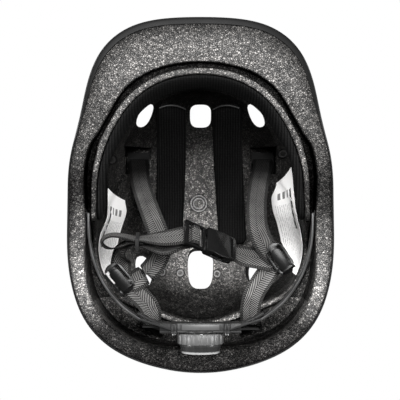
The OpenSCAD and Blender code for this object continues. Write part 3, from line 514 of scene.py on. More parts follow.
def foam_material():
    """Fused beads: dark seams between cells of uneven grey, each cell slightly raised."""
    n = Nodes("bead_foam")
    co = n.coords()
    # The cells' places are bent by a fine noise, by a millimetre or so
    warp = n.add("ShaderNodeTexNoise")
    n.link(co, warp.inputs["Vector"])
    warp.inputs["Scale"].default_value = 260
    bent = n.add("ShaderNodeVectorMath", operation="MULTIPLY_ADD")
    n.link(warp.outputs["Color"], bent.inputs[0])
    bent.inputs[1].default_value = (1.2 * MM, 1.2 * MM, 1.2 * MM)
    n.link(co, bent.inputs[2])
    bead = n.voronoi(bent.outputs[0], BEADS)
    edge = n.voronoi(bent.outputs[0], BEADS, "DISTANCE_TO_EDGE").outputs["Distance"]
    fine = n.noise(co, 2400, 3, 0.65)
    cloud = n.noise(co, 28)
    col = n.ramp(n.split(bead.outputs["Color"])[0], (0.0, 0.05), (0.4, 0.13, 0.03),
                 (0.75, 0.24, 0.04), (1.0, 0.4, 0.04))
    col = n.times(col, n.ramp(edge, (0.0, 0.05), (0.1, 0.5), (0.26, 1.15)))
    col = n.times(col, n.ramp(fine, (0.35, 0.45), (0.65, 1.35)))
    col = n.times(col, n.ramp(cloud, (0.35, 0.8), (0.65, 1.15)))
    x, y, z = n.split(co)
    dark, pale = mould_lines(n, x, y, z)
    # Painted highlight and painted shade of the mould's ring marks
    col = n.mix(n.product(pale, 0.6), col, grey(0.42))
    col = n.mix(dark, col, grey(0.006))
    shade = painted_foam_shading(n, cloud, y, z)
    n.set(color=n.times(col, shade), rough=n.math("MULTIPLY_ADD", fine, 0.35, 0.25),
          spec=n.product(n.split(shade)[0], 0.45))
    height = n.math("ADD", n.product(n.math("MINIMUM", edge, 0.25), 3.0), n.product(fine, 0.35))
    n.bump(n.math("SUBTRACT", height, dark), 0.8, 0.7 * MM)
    return n.mat


# Height of a mould's grain in plastic, in metres
GRAIN = 0.06 * MM


def plastic(name, value, rough, grain=900.0, depth=0.25, spec=0.5):
    """Moulded plastic or rubber with an even grain."""
    n = Nodes(name)
    co = n.coords()
    broad = n.noise(co, 60)
    n.set(color=n.ramp(broad, (0.25, 0.85 * value), (0.75, 1.15 * value)),
          rough=n.math("MULTIPLY_ADD", broad, 0.12, rough - 0.06), spec=spec)
    n.bump(n.noise(co, grain), depth, GRAIN)
    return n.mat


# Webbing in widths: the spine's place, the twill's rate along and its slant, the rate of the
# ribs at the edges and where they start, and where the thin sides start, off the middle
SPINE, TWILL, SLANT, RIBS, RIB_FROM, SIDE_FROM = 0.46, 15.5, 19.0, 24.0, 0.36, 0.49
WEBBING_GAIN = 1.9


def webbing_material():
    """Herringbone with one spine and ribbed edges; U runs across and V along, both in widths."""
    n = Nodes("herringbone_webbing")
    u, v, _ = n.split(n.coords("UV"))
    off = n.math("ABSOLUTE", n.math("SUBTRACT", u, SPINE))
    twill = n.math("PINGPONG", n.math("ADD", n.product(v, TWILL), n.product(off, SLANT)), 1.0)
    rib = n.math("MULTIPLY_ADD", n.math("PINGPONG", n.product(v, RIBS), 1.0), 0.3, 0.25)
    edge = n.math("ABSOLUTE", n.math("SUBTRACT", u, 0.5))
    pattern = n.mix(n.math("GREATER_THAN", edge, RIB_FROM), twill, rib)
    seam = n.math("MINIMUM", off, n.math("ABSOLUTE", n.math("SUBTRACT", edge, RIB_FROM)))
    co = n.coords()
    fluff = n.noise(co, 3000, 2)
    tone = n.ramp(pattern, (0.28, 0.002, 0.02), (0.5, 0.04, 0.02), (0.72, 0.17, 0.02))
    tone = n.times(tone, n.ramp(n.noise(co, 90), (0.3, 0.7), (0.7, 1.15)))
    tone = n.times(tone, n.ramp(seam, (0.0, 0.55), (0.03, 1.0)))
    tone = n.times(tone, n.ramp(fluff, (0.3, 0.8), (0.7, 1.1)))
    # Painted shade on the thin sides of the webbing
    tone = n.mix(n.math("GREATER_THAN", edge, SIDE_FROM), tone, n.times(tone, grey(0.25)))
    # Painted shade in hollows
    tone = n.times(tone, n.ramp(n.hollow(0.008), (0.2, 0.1), (0.75, 1.0)))
    # Painted shade and light: the webbing turns black towards the pockets under the crown and is
    # paler at the rear
    _, y, z = n.split(co)
    tone = n.times(tone, n.ramp(n.product(y, 10.0), (0.5, 0.42), (0.64, 1.0)))
    tone = n.times(tone, grey(WEBBING_GAIN))
    height = n.math("DIVIDE", z, 0.1)
    tone = n.times(tone, n.ramp(height, (0.28, 1.0), (0.6, 0.72), (0.84, 0.12)))
    n.set(color=tone, rough=0.75, spec=n.product(pattern, 0.2))
    n.bump(n.math("ADD", pattern, n.product(fluff, 0.35)), 0.7, 0.25 * MM)
    return n.mat


def knit_material():
    """Black brushed knit with fine ribs along the helmet."""
    n = Nodes("brushed_knit")
    co = n.coords()
    x, y, _ = n.split(co)
    nap = n.noise(co, 900, 4, 0.7)
    wavy = n.math("ADD", n.product(x, 480.0), n.product(n.noise(co, 70), 0.6))
    rib = n.math("PINGPONG", n.product(wavy, 2.0), 1.0)
    loops = n.math("PINGPONG", n.product(y, 1500.0), 1.0)
    knit = n.math("ADD", n.product(rib, 0.7), n.product(loops, 0.3))
    col = n.times(n.ramp(knit, (0.2, 0.002), (0.8, 0.009)), n.ramp(nap, (0.3, 0.5), (0.7, 1.5)))
    n.set(color=col, rough=0.95, spec=0.04)
    n.bump(n.math("ADD", knit, n.product(nap, 0.6)), 0.6, 0.3 * MM)
    return n.mat


def label_material():
    """White sticker with plain broken rules; U runs up its height and V along its length."""
    n = Nodes("ruled_label")
    u, v, _ = n.split(n.coords("UV"))
    co = n.coords()

    def band(s, low, high):
        return n.product(n.math("GREATER_THAN", s, low), n.math("LESS_THAN", s, high))

    def stripes(rate, gap):
        return n.math("GREATER_THAN", n.math("FRACT", n.product(u, rate)), gap)

    def broken(scale, detail, gap):
        return n.math("GREATER_THAN", n.noise(co, scale, detail), gap)

    field = n.product(band(u, 0.08, 0.92), band(v, 0.36, 0.95))
    ink = n.product(n.product(stripes(13.0, 0.55), field), broken(700, 2, 0.46))
    bold = n.product(n.product(band(u, 0.16, 0.25), band(v, 0.2, 0.62)), broken(420, 1, 0.42))
    blocks = n.product(n.product(band(u, 0.34, 0.86), band(v, 0.2, 0.29)), stripes(5.0, 0.45))
    paper = n.ramp(n.noise(co, 90), (0.3, 0.9, 0.01), (0.7, 0.96, 0.01))
    col = n.mix(n.product(ink, 0.45), paper, grey(0.1))
    col = n.mix(n.math("MAXIMUM", bold, n.product(blocks, 0.8)), col, grey(0.02))
    n.set(color=col, rough=0.4, spec=0.4)
    n.bump(n.noise(co, 600, 2), 0.1, 0.1 * MM)
    return n.mat


def steel_material():
    n = Nodes("blackened_steel")
    fine = n.noise(n.coords(), 1500, 2)
    n.set(color=n.ramp(fine, (0.3, 0.1), (0.7, 0.16)), metal=1.0,
          rough=n.math("MULTIPLY_ADD", fine, 0.2, 0.25))
    n.bump(fine, 0.15, 0.03 * MM)
    return n.mat


def shell_material():
    """Satin black shell, with painted shade on the faces that look down, such as the return under
    its edge, which also shine less; with a fine mould grain.
    """
    n = Nodes("shell_satin")
    co = n.coords()
    broad = n.noise(co, 60)
    # Painted shade: faces that look down are darker, and shine less
    faces_down = n.math("LESS_THAN", n.split(n.coords("Normal"))[2], -0.25)
    col = n.mix(faces_down, n.ramp(broad, (0.25, 0.0125), (0.75, 0.0155)), grey(0.007))
    n.set(color=col, rough=n.math("MULTIPLY_ADD", broad, 0.12, 0.44),
          spec=n.math("MULTIPLY_ADD", faces_down, -0.14, 0.22))
    n.bump(n.noise(co, 500), 0.12, GRAIN)
    return n.mat


def dial_material():
    """Glossy dial, its cone darker, with a painted highlight round its end."""
    n = Nodes("dial_gloss")
    co = n.coords()
    broad = n.noise(co, 60)
    place = n.product(n.split(co)[1], 8.0)
    # Painted highlight: a pale ring round the end of the cone
    col = n.ramp(place, (0.9, 0.06), (0.92, 0.025), (0.946, 0.03), (0.952, 0.45))
    col = n.times(col, n.ramp(broad, (0.3, 0.8), (0.7, 1.2)))
    n.set(color=col, rough=n.math("MULTIPLY_ADD", broad, 0.1, 0.15), coat=0.5, coat_rough=0.08)
    n.bump(n.noise(co, 600), 0.06, GRAIN)
    return n.mat


MATS = {
    "shell": shell_material(),
    "foam": foam_material(),
    "pad": knit_material(),
    "hook": plastic("hook_fastener", 0.09, 0.8, grain=2500, depth=0.8),
    "label": label_material(),
    "webbing": webbing_material(),
    "rubber": plastic("keeper_rubber", 0.012, 0.6, grain=1800, depth=0.3, spec=0.25),
    "buckle_plastic": plastic("buckle_gloss", 0.005, 0.22, grain=700, depth=0.08, spec=0.42),
    "black_plastic": plastic("ring_plastic", 0.012, 0.42, grain=2200, depth=0.35, spec=0.3),
    "rack_plastic": plastic("rack_acetal", 0.007, 0.5, spec=0.15),
    "dial_plastic": dial_material(),
    "grip_rubber": plastic("grip_soft", 0.085, 0.38, grain=2600, depth=0.3),
    "pin_steel": steel_material(),
}

# Finishes that differ from their slot's, by node, of the cradle's panel with its painted sheen and
# of the pads' binding
BAND = plastic("band_gloss", 0.035, 0.4, grain=1500, depth=0.15, spec=0.35)
PANEL_SHEEN = plastic("panel_painted_sheen", 0.065, 0.38, grain=1500, depth=0.1)
LEVER = plastic("lever_satin", 0.005, 0.26, depth=0.1, spec=0.16)
BINDING_TAPE = plastic("binding_tape", 0.045, 0.7, grain=2500, depth=0.8, spec=0.2)
DIVIDER = plastic("divider_gloss", 0.005, 0.3, depth=0.1, spec=0.3)
SPECIAL = {"strap_anchors": plastic("anchor_matt", 0.005, 0.7, spec=0.08),
           "ring_band_left": BAND, "ring_band_right": BAND,
           "divider_lever_left": LEVER, "divider_lever_right": LEVER,
           "divider_body_left": DIVIDER, "divider_body_right": DIVIDER}


def paint(ob, slot, material=None):
    ob.data.materials.clear()
    ob.data.materials.append(material or MATS[slot])


# Every CAD node that stays gets its procedural finish
for node_name, node_ob in NODES.items():
    mat = MATS[SLOTS[node_name]]
    if not node_ob.data.materials:
        node_ob.data.materials.append(mat)
    for i in range(len(node_ob.data.materials)):
        node_ob.data.materials[i] = mat


# Shell and foam from the same formulas as the CAD, with finer steps
def turned(name, face):
    """Skin of a profile that is worked out at each section round the helmet."""
    angles = [i * 360 / SECTIONS for i in range(SECTIONS)]
    profiles = [face(a) for a in angles]
    return skin(name, [[in_plan(a, *p[j]) for a, p in zip(angles, profiles)]
                       for j in range(len(profiles[0]))])


def shell_face(a):
    f = softened(outer_face(a))
    return np.vstack([f[::-1], inset(f, SHELL_T)])


def smooth_loop(p):
    q = np.roll(p, -1, axis=0)
    return np.stack([0.75 * p + 0.25 * q, 0.25 * p + 0.75 * q], 1).reshape(-1, 2)


# Height of the middle of a roof vent's cutter, and how far it reaches up and down
VENT_Z, VENT_REACH = 100.0, 60.0


def leaning(shape, lean):
    """Cutter of a roof vent that leans outwards by some degrees."""
    c = shape.mean(0)
    shift = VENT_REACH * math.tan(math.radians(lean)) * c / np.linalg.norm(c)
    return skin("cutter", [np.column_stack([shape + s * shift,
                                            np.full(len(shape), VENT_Z + s * VENT_REACH)])
                           for s in (-1, 1)])


def oval(w, l, taper, cy):
    """Loop between an ellipse and its box, on the middle line and narrower to the rear."""
    t = np.radians(np.arange(0, 360, 7.5))
    c, s = (np.sign(k) * np.abs(k) ** 0.62 for k in (np.cos(t), np.sin(t)))
    return np.column_stack([c * w / 2 * (1 - taper * s), s * l / 2 + cy])


# Outlines of the left vents: the leaves in plan and the side vent in its height over Y
FRONT_LEAF = [[-42, -75], [-38, -73.5], [-39.5, -66], [-43, -58.5], [-47.5, -55], [-52, -56],
              [-53, -60.5], [-50.5, -67.5]]
REAR_LEAF = [[-53, 52], [-49, 46.5], [-43, 46], [-38, 52], [-36.5, 60], [-38.5, 69],
             [-43, 76], [-48, 76], [-52.5, 69], [-54.5, 60]]
SIDE_VENT = [[-36, 88], [-31, 84], [-25, 84], [-21, 89], [-24, 94], [-31, 95]]
# Reach of a side vent's cutter across the helmet
SIDE_X = (51.0, 121.0)
# Boxes of a front strap's pocket and of a ring socket's: from the middle out, Y and height
STRAP_POCKET, RING_POCKET = (41, 61, -39, -17, 20, 108), (80, 94, 11.3, 20.7, 14.8, 24.2)


def cut_vents(ob):
    cutters = [leaning(oval(17.6, 21, 0, -64), 6), leaning(oval(21, 36, 0.1, 59.5), 8)]
    for s in (1, -1):
        flip = np.array([s, 1])
        cutters.append(leaning(smooth_loop(np.array(FRONT_LEAF) * flip), 5))
        cutters.append(leaning(smooth_loop(np.array(REAR_LEAF) * flip), 13))
        v = np.array(SIDE_VENT, float)
        cutters.append(skin("cutter", [np.column_stack([np.full(len(v), s * x), v])
                                       for x in SIDE_X]))
    for c in cutters:
        cut(ob, c)


def pocket(side, near, far, y0, y1, z0, z1):
    """Cutter of a box on one side of the helmet."""
    x0, x1 = sorted((side * near, side * far))
    ring = np.array([[x0, y0], [x1, y0], [x1, y1], [x0, y1]], float)
    return skin("cutter", [np.column_stack([ring, np.full(4, z)]) for z in (z0, z1)])


shell = turned("shell_fine", shell_face)
cut_vents(shell)
sharp_by_angle(shell, 50)
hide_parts("outer_shell")
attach(shell, "helmet")
paint(shell, "shell")

foam = turned("foam_fine", lambda a: softened(foam_face(a)))
cut_vents(foam)
for hand in (-1, 1):
    cut(foam, pocket(hand, *STRAP_POCKET))
    cut(foam, pocket(hand, *RING_POCKET))
sharp_by_angle(foam, 42)
# Place across the rim's underside, 0 at the groove and 1 at the shell, for the foam's painted
# light and shade
rim_place = foam.data.attributes.new("rim_place", "FLOAT", "POINT")
for vertex in foam.data.vertices:
    vx, vy = vertex.co[0] / MM, vertex.co[1] / MM
    va = math.degrees(math.atan2(vx, -vy))
    inner = flange_r(va)
    across = (math.hypot(vx, vy) - inner) / (rim_r(va) - inner)
    rim_place.data[vertex.index].value = min(1.0, max(0.0, across))
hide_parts("foam_liner")
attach(foam, "helmet")
paint(foam, "foam")


# Pads: crowned sections on the cavity's wall and roof, then swollen by cloth simulation
BROW_END = 104.0
BROW_H = [[0, 31], [40, 29], [75, 24], [BROW_END, 22]]
BROW_T, CROWN_T, CROWN_W = 4.6, 5.0, 26.0
PAD_FRONT, PAD_BACK = -74.5, 42.0
# The brow pad is lower beside the front leaves: by how much, at which angle, over what span
BROW_DIP, DIP_AT, DIP_SPAN = 3.0, 36, 14


def crowned(count=12, roundness=2 / 2.6):
    """Loop of (place across, height) from 0 to 1: flat against the foam, domed away from it."""
    flat = [(u, 0.0) for u in np.linspace(0.02, 0.98, count)]
    t = np.linspace(0.0, 180.0, count + 2)
    dome = [(0.5 + 0.5 * np.sign(cosd(k)) * abs(cosd(k)) ** roundness,
             max(0.0, sind(k)) ** roundness) for k in t]
    return flat + [(u, 0.12 + 0.88 * h) for u, h in dome]


SECTION = crowned()


def end_swell(t, rate):
    """Thickness and width along a pad, both rounded off at its ends."""
    k = min(1.0, rate * min(t, 1 - t))
    return math.sqrt(max(0.0, 1 - (1 - k) ** 2))


def brow_rings(steps=110):
    rings = []
    for i in range(steps + 1):
        t = i / steps
        a = BROW_END * (2 * t - 1)
        k = end_swell(t, 16)
        dip = BROW_DIP * math.exp(-((abs(a) - DIP_AT) / DIP_SPAN) ** 2)
        h = track(BROW_H, a) + 0.7 - dip
        mid = track(LIP_Z, a) + 0.3 + h / 2
        rings.append([off_wall(a, mid + (u - 0.5) * h * (0.6 + 0.4 * k),
                               0.3 + 0.9 * min(1, u / 0.25)
                               + (BROW_T - 0.3) * w * (0.15 + 0.85 * k))
                      for u, w in SECTION])
    return rings


def crown_rings(x0, x1, steps=84):
    rings = []
    for i in range(steps + 1):
        t = i / steps
        k = end_swell(t, 14)
        y, xc = PAD_FRONT + (PAD_BACK - PAD_FRONT) * t, x0 + (x1 - x0) * t
        ring = []
        for u, w in SECTION:
            x = xc + (u - 0.5) * (CROWN_W - 1) * (0.5 + 0.5 * k)
            off = PAD_GAP - 0.3 + (CROWN_T - 0.6) * w * (0.2 + 0.8 * k)
            ring.append(np.array([x, y, roof_z(x, y)]) + off * roof_down(x, y))
        rings.append(ring)
    return rings


# Pressure of the cloth simulation, its length in frames, and the furthest that a point may move
PRESSURE, LAST_FRAME, SWELL_CAP = 3.0, 14, 0.8 * MM


def swell(ob):
    start = np.array([v.co for v in ob.data.vertices])
    c = ob.modifiers.new("swell", "CLOTH")
    c.settings.quality = 5
    c.settings.use_pressure = True
    c.settings.uniform_pressure_force = PRESSURE
    c.settings.effector_weights.gravity = 0
    c.settings.tension_stiffness = 12
    c.settings.compression_stiffness = 12
    for frame_number in range(1, LAST_FRAME + 1):
        bpy.context.scene.frame_set(frame_number)
    apply_modifiers(ob)
    bpy.context.scene.frame_set(1)
    move = np.array([v.co for v in ob.data.vertices]) - start
    size = np.linalg.norm(move, axis=1)
    scale = np.minimum(1, SWELL_CAP / np.maximum(size, 1e-9))
    ob.data.vertices.foreach_set("co", (start + move * scale[:, None]).ravel())
    ob.data.update()
    m = ob.modifiers.new("soft", "SMOOTH")
    m.factor, m.iterations = 0.4, 2


def pad(node, rings):
    ob = skin(node + "_soft", rings)
    swell(ob)
    m = ob.modifiers.new("finer", "SUBSURF")
    m.levels = m.render_levels = 1
    apply_modifiers(ob)
    sharp_by_angle(ob, 80)
    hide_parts(node)
    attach(ob, "helmet")
    paint(ob, "pad")


pad("brow_pad", brow_rings())
pad("crown_pad_left", crown_rings(-23.8, -27.0))
pad("crown_pad_right", crown_rings(21.8, 27.2))

# Light binding that crosses the front end of each crown pad: its place, half its length, and how
# far its ends lie behind its middle
BIND_Y, BIND_HALF, BIND_BOW = -76.2, 11.0, 3.6
# Its distance from the pad's back, how much nearer its ends are, and half its width and thickness
BIND_OFF, BIND_DROP, BIND_W, BIND_T = 3.6, 1.2, 0.55, 0.4


def binding(name, xc, count=16):
    spine = []
    for i in range(count + 1):
        u = 2 * i / count - 1
        x, y = xc + u * BIND_HALF, BIND_Y + BIND_BOW * u * u
        off = PAD_GAP + BIND_OFF - BIND_DROP * u * u
        spine.append(np.array([x, y, roof_z(x, y)]) + off * roof_down(x, y))
    rings = []
    for i, c in enumerate(spine):
        t = spine[min(i + 1, count)] - spine[max(i - 1, 0)]
        t /= np.linalg.norm(t)
        w = np.cross(t, (0, 0, 1))
        w /= np.linalg.norm(w)
        h = np.cross(w, t)
        rings.append([c + w * BIND_W * math.cos(k) + h * BIND_T * math.sin(k)
                      for k in np.arange(8) * math.pi / 4])
    ob = skin(name, rings)
    sharp_by_angle(ob, 60)
    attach(ob, "helmet")
    paint(ob, "hook", BINDING_TAPE)


binding("crown_pad_left_binding", -23.8)
binding("crown_pad_right_binding", 21.8)

# Webbing: width, thickness, points across a face, steps between stations and depth of its ripple
WEB_W, WEB_T, WEB_ACROSS, WEB_STEPS, RIPPLE = 16.0, 1.2, 14, 9, 0.12


def turn(axis, degrees):
    return np.array(Matrix.Rotation(math.radians(degrees), 3, axis))


# The buckle's frame: X runs along it to the socket and Y across the webbing
BUCKLE_R = turn("Z", 24) @ turn("Y", -30) @ turn("X", -40)
BUCKLE_O = np.array([3.4, 34.5, 17.0])


def buckle_point(u, n):
    return BUCKLE_O + BUCKLE_R @ np.array([u, 0, n])


def width_of(phi, dip):
    """Direction across the webbing, from its bearing in plan and its dip."""
    return np.array([cosd(phi) * cosd(dip), sind(phi) * cosd(dip), sind(dip)])


def stations(route):
    """Place and width direction by station; two numbers are a place in the buckle's frame."""
    out = []
    for s in route:
        if len(s) == 2:
            out.append(np.concatenate([buckle_point(*s), BUCKLE_R[:, 1]]))
        else:
            out.append(np.concatenate([s[:3], width_of(s[3], s[4])]))
    return np.array(out)


def catmull(p, steps):
    """Smooth curve through all points."""
    out = []
    for i in range(len(p) - 1):
        a, b, c, d = p[max(i - 1, 0)], p[i], p[i + 1], p[min(i + 2, len(p) - 1)]
        for k in range(steps):
            u = k / steps
            out.append(0.5 * (2 * b + (c - a) * u + (2 * a - 5 * b + 4 * c - d) * u * u
                              + (3 * b - a - 3 * c + d) * u ** 3))
    out.append(p[-1])
    return np.array(out)


def ribbon(name, route):
    """Flat webbing along a route, with thin edges and a slight ripple."""
    f = catmull(stations(route), WEB_STEPS)
    c, w0 = f[:, :3], f[:, 3:]
    tangent = np.gradient(c, axis=0)
    tangent /= np.linalg.norm(tangent, axis=1)[:, None]
    w = w0 - (w0 * tangent).sum(1)[:, None] * tangent
    w /= np.linalg.norm(w, axis=1)[:, None]
    h = np.cross(tangent, w)
    along = np.concatenate([[0], np.cumsum(np.linalg.norm(np.diff(c, axis=0), axis=1))])
    us = np.linspace(-1, 1, WEB_ACROSS)
    edge = 1 - 0.55 * np.clip((np.abs(us) - 0.86) / 0.14, 0, 1) ** 2
    verts, uvs = [], []
    for i in range(len(c)):
        sway = RIPPLE * math.sin(along[i] * 0.21 + len(name)) * (1 - us ** 2)
        for side in (1, -1):
            for k in range(WEB_ACROSS)[::side]:
                verts.append(c[i] + w[i] * us[k] * WEB_W / 2
                             + h[i] * (side * WEB_T / 2 * edge[k] + sway[k]))
                uvs.append(((us[k] + 1) / 2, along[i] / WEB_W))
    ob = mesh_object(name, np.array(verts) * MM, ring_faces(len(c), 2 * WEB_ACROSS), uvs)
    outward(ob)
    sharp_by_angle(ob, 60)
    paint(ob, "webbing")
    return ob


# Routes by stations: place, bearing of the width in plan and its dip, in millimetres and degrees
FRONT_LEFT = [[-51, -28, 97, 0, 0], [-50, -21, 87, 0, 0], [-47.5, -8, 68, 0, 0],
              [-42, 6, 46, -2, 0], [-37, 18, 33, -4, 0], [-32.5, 29.5, 27, -5, 0],
              [-30.5, 39, 25.4, -10, 0], [-32, 48, 25.6, -22, 0], [-38, 57, 26, -32, 0],
              [-46, 63.5, 26.2, -42, 0], [-54, 68, 26.2, -50, 0]]
FRONT_RIGHT = [[51, -28, 97, 0, 0], [50, -21, 87, 0, 0], [46.5, -8, 68, 0, 0],
               [44, 6, 48, 0, 0], [43.5, 17, 35, 0, 0], [44.2, 26, 28, -6, 0],
               [47, 34.5, 25.2, -20, 0], [51.5, 41.5, 24.5, -34, 0], [57.5, 48, 24.4, -42, 0]]
REAR_LEFT = [[-57, 68, 27.8, -38, 0], [-52, 73, 28.4, -35, 0], [-45.5, 79, 30.4, -31, 0],
             [-40, 86, 33.4, -28, 0], [-38, 93.5, 38, -27, 0], [-39, 101, 43, -27, 0]]
REAR_RIGHT = [[56, 53, 28.1, 35, 0], [50.5, 61, 28.5, 32, 0], [44, 71, 29.7, 30, 0],
              [40, 80, 31.8, 28, 0], [38.4, 90.5, 36.8, 26, 0], [39, 100.6, 43, 27, 0]]
TAIL = [[-14.5, 31, 9.9, 91, -38], [-20, 32, 9.5, 90, -40],
        [-28, 33, 10.2, 90, -46], [-36, 33.2, 11, 90, -60], [-43, 33.3, 11.6, 90, -73],
        [-50, 33.3, 11.6, 90, -76], [-57, 31.6, 11.6, 100, -78], [-66, 30.6, 11.6, 90, -80],
        [-72, 32.2, 11.6, 55, -80], [-74.5, 35.8, 11.6, 0, -80], [-72, 39.4, 11.6, -55, -80],
        [-66, 40.6, 11.6, -90, -88], [-58.5, 38.2, 11.6, -90, -96], [-52.5, 35.3, 11.6, -90, -103],
        [-43, 35.3, 11.6, -90, -104]]
LOAD = [[-15, 35.8, 13.5, 91, -42], [-21, 39.3, 12.2, 92, -50],
        [-28, 41.4, 11.6, 90, -58], [-35.5, 40.2, 11.6, 80, -66], [-43, 37.6, 11.6, 86, -73],
        [-50, 37.2, 11.8, 92, -76], [-55.8, 39.4, 13.4, 60, -70], [-59, 43.5, 17.6, 25, -55],
        [-60.3, 48, 22.6, 8, -28], [-60.8, 53, 24.5, 0, -4], [-61, 58, 24.6, 0, 0],
        [-61, 63, 24.6, 0, 0]]
# Round the bars of the plug's ladder, in the buckle's frame
WRAP = [[-12.6, 1.6], [-12.2, -0.6], [-11.2, -1.8], [-9.2, -1.9], [-7.2, -1.8], [-6.2, -0.4],
        [-6.5, 2.2], [-9.0, 4.0]]
CHIN_RIGHT = [[25.5, 44.4, 31, 91, -34], [29.5, 46, 32.6, 92, -32], [35.5, 47.6, 31.4, 96, -20],
              [42, 48.6, 28.2, 98, -8], [48.5, 49.6, 26.4, 98, 0], [56, 50.8, 26.1, 98, 0]]


def strap(node, route):
    ob = ribbon(node + "_web", route)
    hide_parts(node)
    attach(ob, "helmet")


strap("front_strap_left", FRONT_LEFT)
strap("front_strap_right", FRONT_RIGHT)
strap("rear_strap_left", REAR_LEFT)
strap("rear_strap_right", REAR_RIGHT)
strap("chin_strap_left", TAIL[::-1] + WRAP + LOAD)

chin_right = ribbon("chin_strap_right_web", CHIN_RIGHT)
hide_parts("chin_strap_right")
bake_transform(chin_right)


# Stickers on the cavity wall: degrees by which their front edge leans back towards the crown, and
# the distances of their back and face from the foam
LABEL_SHEAR, LABEL_OFF = 8.0, (0.7, 1.0)


def label(name, low, high, side, node, steps=28, ups=12):
    """Sheet between two tables of heights, on one side of the cavity."""
    verts, uvs, faces = [], [], []
    a0, a1 = low[0][0], low[-1][0]
    for d in LABEL_OFF:
        for i in range(steps + 1):
            a = a0 + (a1 - a0) * i / steps
            z0, z1 = track(low, a), track(high, a)
            for k in range(ups + 1):
                turn_back = LABEL_SHEAR * (k / ups) * (1 - i / steps)
                verts.append(off_wall(side * (a + turn_back), z0 + (z1 - z0) * k / ups, d))
                uvs.append((k / ups, i / steps))
    n = ups + 1
    layer = (steps + 1) * n
    for i in range(steps):
        for k in range(ups):
            a = i * n + k
            faces.append((a, a + 1, a + n + 1, a + n))
            faces.append((layer + a, layer + a + n, layer + a + n + 1, layer + a + 1))
    edge = ([(0, k) for k in range(ups)] + [(i, ups) for i in range(steps)]
            + [(steps, k) for k in range(ups, 0, -1)] + [(i, 0) for i in range(steps, 0, -1)])
    for (i, k), (j, m) in zip(edge, edge[1:] + edge[:1]):
        a, b = i * n + k, j * n + m
        faces.append((a, b, layer + b, layer + a))
    ob = mesh_object(name, np.array(verts) * MM, faces, uvs)
    outward(ob)
    sharp_by_angle(ob, 50)
    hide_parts(node)
    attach(ob, "helmet")
    paint(ob, "label")


label("label_left_paper", [[86, 52], [102, 54], [108, 50], [112, 44], [136, 46]],
      [[86, 86], [96, 89], [115, 84], [128, 70], [136, 56]], -1, "label_left")
label("label_right_paper", [[73, 50], [85, 51], [102, 44], [110, 43], [130, 46]],
      [[73, 84], [87, 92], [107, 89], [118, 86], [124, 68], [130, 55]], 1, "label_right")

# Half the width of the cradle's panel with its painted sheen, and its highest place, in metres
PANEL_HALF, PANEL_TOP = 14.6 * MM, 9.4 * MM

# Rigid pieces with eased edges, by the width of the ease in millimetres
EASED = {"buckle_plug": 0.4, "buckle_prong_upper": 0.4, "buckle_prong_lower": 0.4,
         "buckle_socket": 0.55, "divider_body_left": 0.5, "divider_body_right": 0.5,
         "divider_lever_left": 0.6, "divider_lever_right": 0.6, "strap_keeper": 0.3,
         "ring_band_left": 0.35, "ring_band_right": 0.35, "cradle_housing": 0.3,
         "cradle_cover": 0.3, "dial_knob": 0.8, "dial_grip": 0.35, "strap_anchors": 0.3}
for node, ease in EASED.items():
    piece = rounded(node, ease)
    paint(piece, SLOTS[node], SPECIAL.get(node))
    if node == "cradle_housing":
        # Painted sheen: the panel and the braces on its underside, the faces that look down, get a
        # paler and slightly glossier copy of the plastic
        piece.data.materials.append(PANEL_SHEEN)
        for face in piece.data.polygons:
            x, _, z = face.center
            if abs(x) < PANEL_HALF and z < PANEL_TOP and face.normal[2] < -0.5:
                face.material_index = 1


def one_sided_material():
    """Pale matt finish that shows from above only."""
    n = Nodes("floor_one_sided")
    n.set(color=n.ramp(n.noise(n.coords(), 3.0, 2), (0.3, 0.80), (0.7, 0.83)), rough=0.9)
    mixer = n.add("ShaderNodeMixShader")
    for socket, source in zip(mixer.inputs, (
            n.add("ShaderNodeNewGeometry").outputs["Backfacing"], n.bsdf.outputs[0],
            n.add("ShaderNodeBsdfTransparent").outputs[0])):
        n.link(source, socket)
    n.link(mixer.outputs[0], n.out.inputs[0])
    return n.mat


# Floor that shows from above only and that no ray but the camera's meets; half its size in metres
FLOOR = 6.0
floor = mesh_object("floor", [(-FLOOR, -FLOOR, 0), (FLOOR, -FLOOR, 0), (FLOOR, FLOOR, 0),
                              (-FLOOR, FLOOR, 0)], [(0, 1, 2, 3)], smooth=False)
floor.data.materials.append(one_sided_material())
floor.visible_shadow = False
floor.visible_diffuse = False
floor.visible_glossy = False
floor.visible_transmission = False

# Strength of the world's light on the object
DIM = 0.07


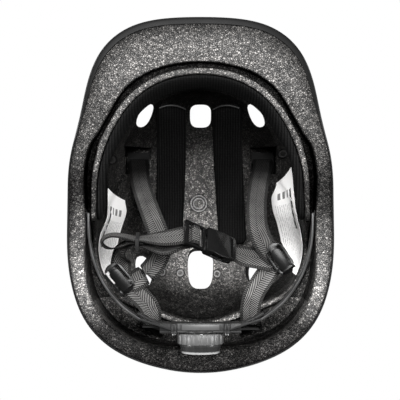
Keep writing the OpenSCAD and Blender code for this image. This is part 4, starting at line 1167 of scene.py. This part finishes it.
def studio_world():
    """White behind the object for the camera, dim for everything else."""
    world = bpy.data.worlds.new("studio")
    bpy.context.scene.world = world
    world.use_nodes = True
    tree = world.node_tree
    tree.nodes.clear()
    path, seen, lit, white, both, end = (tree.nodes.new("ShaderNode" + kind) for kind in (
        "LightPath", "Math", "Background", "Background", "MixShader", "OutputWorld"))
    seen.operation = "MAXIMUM"
    for background, strength in ((lit, DIM), (white, 1.0)):
        background.inputs[0].default_value = (1, 1, 1, 1)
        background.inputs[1].default_value = strength
    for source, socket in ((path.outputs["Is Camera Ray"], seen.inputs[0]),
                           (path.outputs["Is Transmission Ray"], seen.inputs[1]),
                           (seen.outputs[0], both.inputs[0]), (lit.outputs[0], both.inputs[1]),
                           (white.outputs[0], both.inputs[2]), (both.outputs[0], end.inputs[0])):
        tree.links.new(source, socket)


studio_world()


def lamp(name, place, aim, power, width):
    data = bpy.data.lights.new(name, "AREA")
    data.shape, data.energy, data.size = "SQUARE", power, width
    ob = bpy.data.objects.new(name, data)
    bpy.context.scene.collection.objects.link(ob)
    ob.location = place
    ob.rotation_euler = (Vector(aim) - Vector(place)).to_track_quat("-Z", "Y").to_euler()


# Place and aim in metres, power in watts and width
lamp("key", (-0.12, -0.8, -0.58), (0, 0.0, 0.03), 17.0, 0.35)
lamp("fill", (0.1, -0.25, -0.98), (0, 0.0, 0.05), 12.0, 0.35)
lamp("side_left", (-0.95, 0.12, -0.45), (0, 0.02, 0.06), 8.5, 0.3)
lamp("side_right", (0.95, 0.08, -0.45), (0, 0.02, 0.06), 8.5, 0.3)
lamp("over_left", (-1.1, -0.9, 1.3), (0, 0, 0.05), 14.0, 0.9)
lamp("over_right", (1.2, -0.5, 1.0), (0, 0, 0.05), 8.0, 0.9)
lamp("over_back", (0.2, 1.3, 1.2), (0, 0, 0.05), 8.0, 0.9)

# Camera of the photograph: straight up into the helmet, visor at the top of the picture
cam = bpy.data.cameras.new("camera")
cam.lens, cam.sensor_width, cam.sensor_height, cam.sensor_fit = 120.6, 36.0, 36.0, "HORIZONTAL"
cam_ob = bpy.data.objects.new("camera", cam)
bpy.context.scene.collection.objects.link(cam_ob)
cam_ob.location = (-0.0004, 0.0041, -1.0)
cam_ob.rotation_euler = (math.pi, 0, 0)
bpy.context.scene.camera = cam_ob
bpy.context.scene.view_settings.view_transform = "Standard"
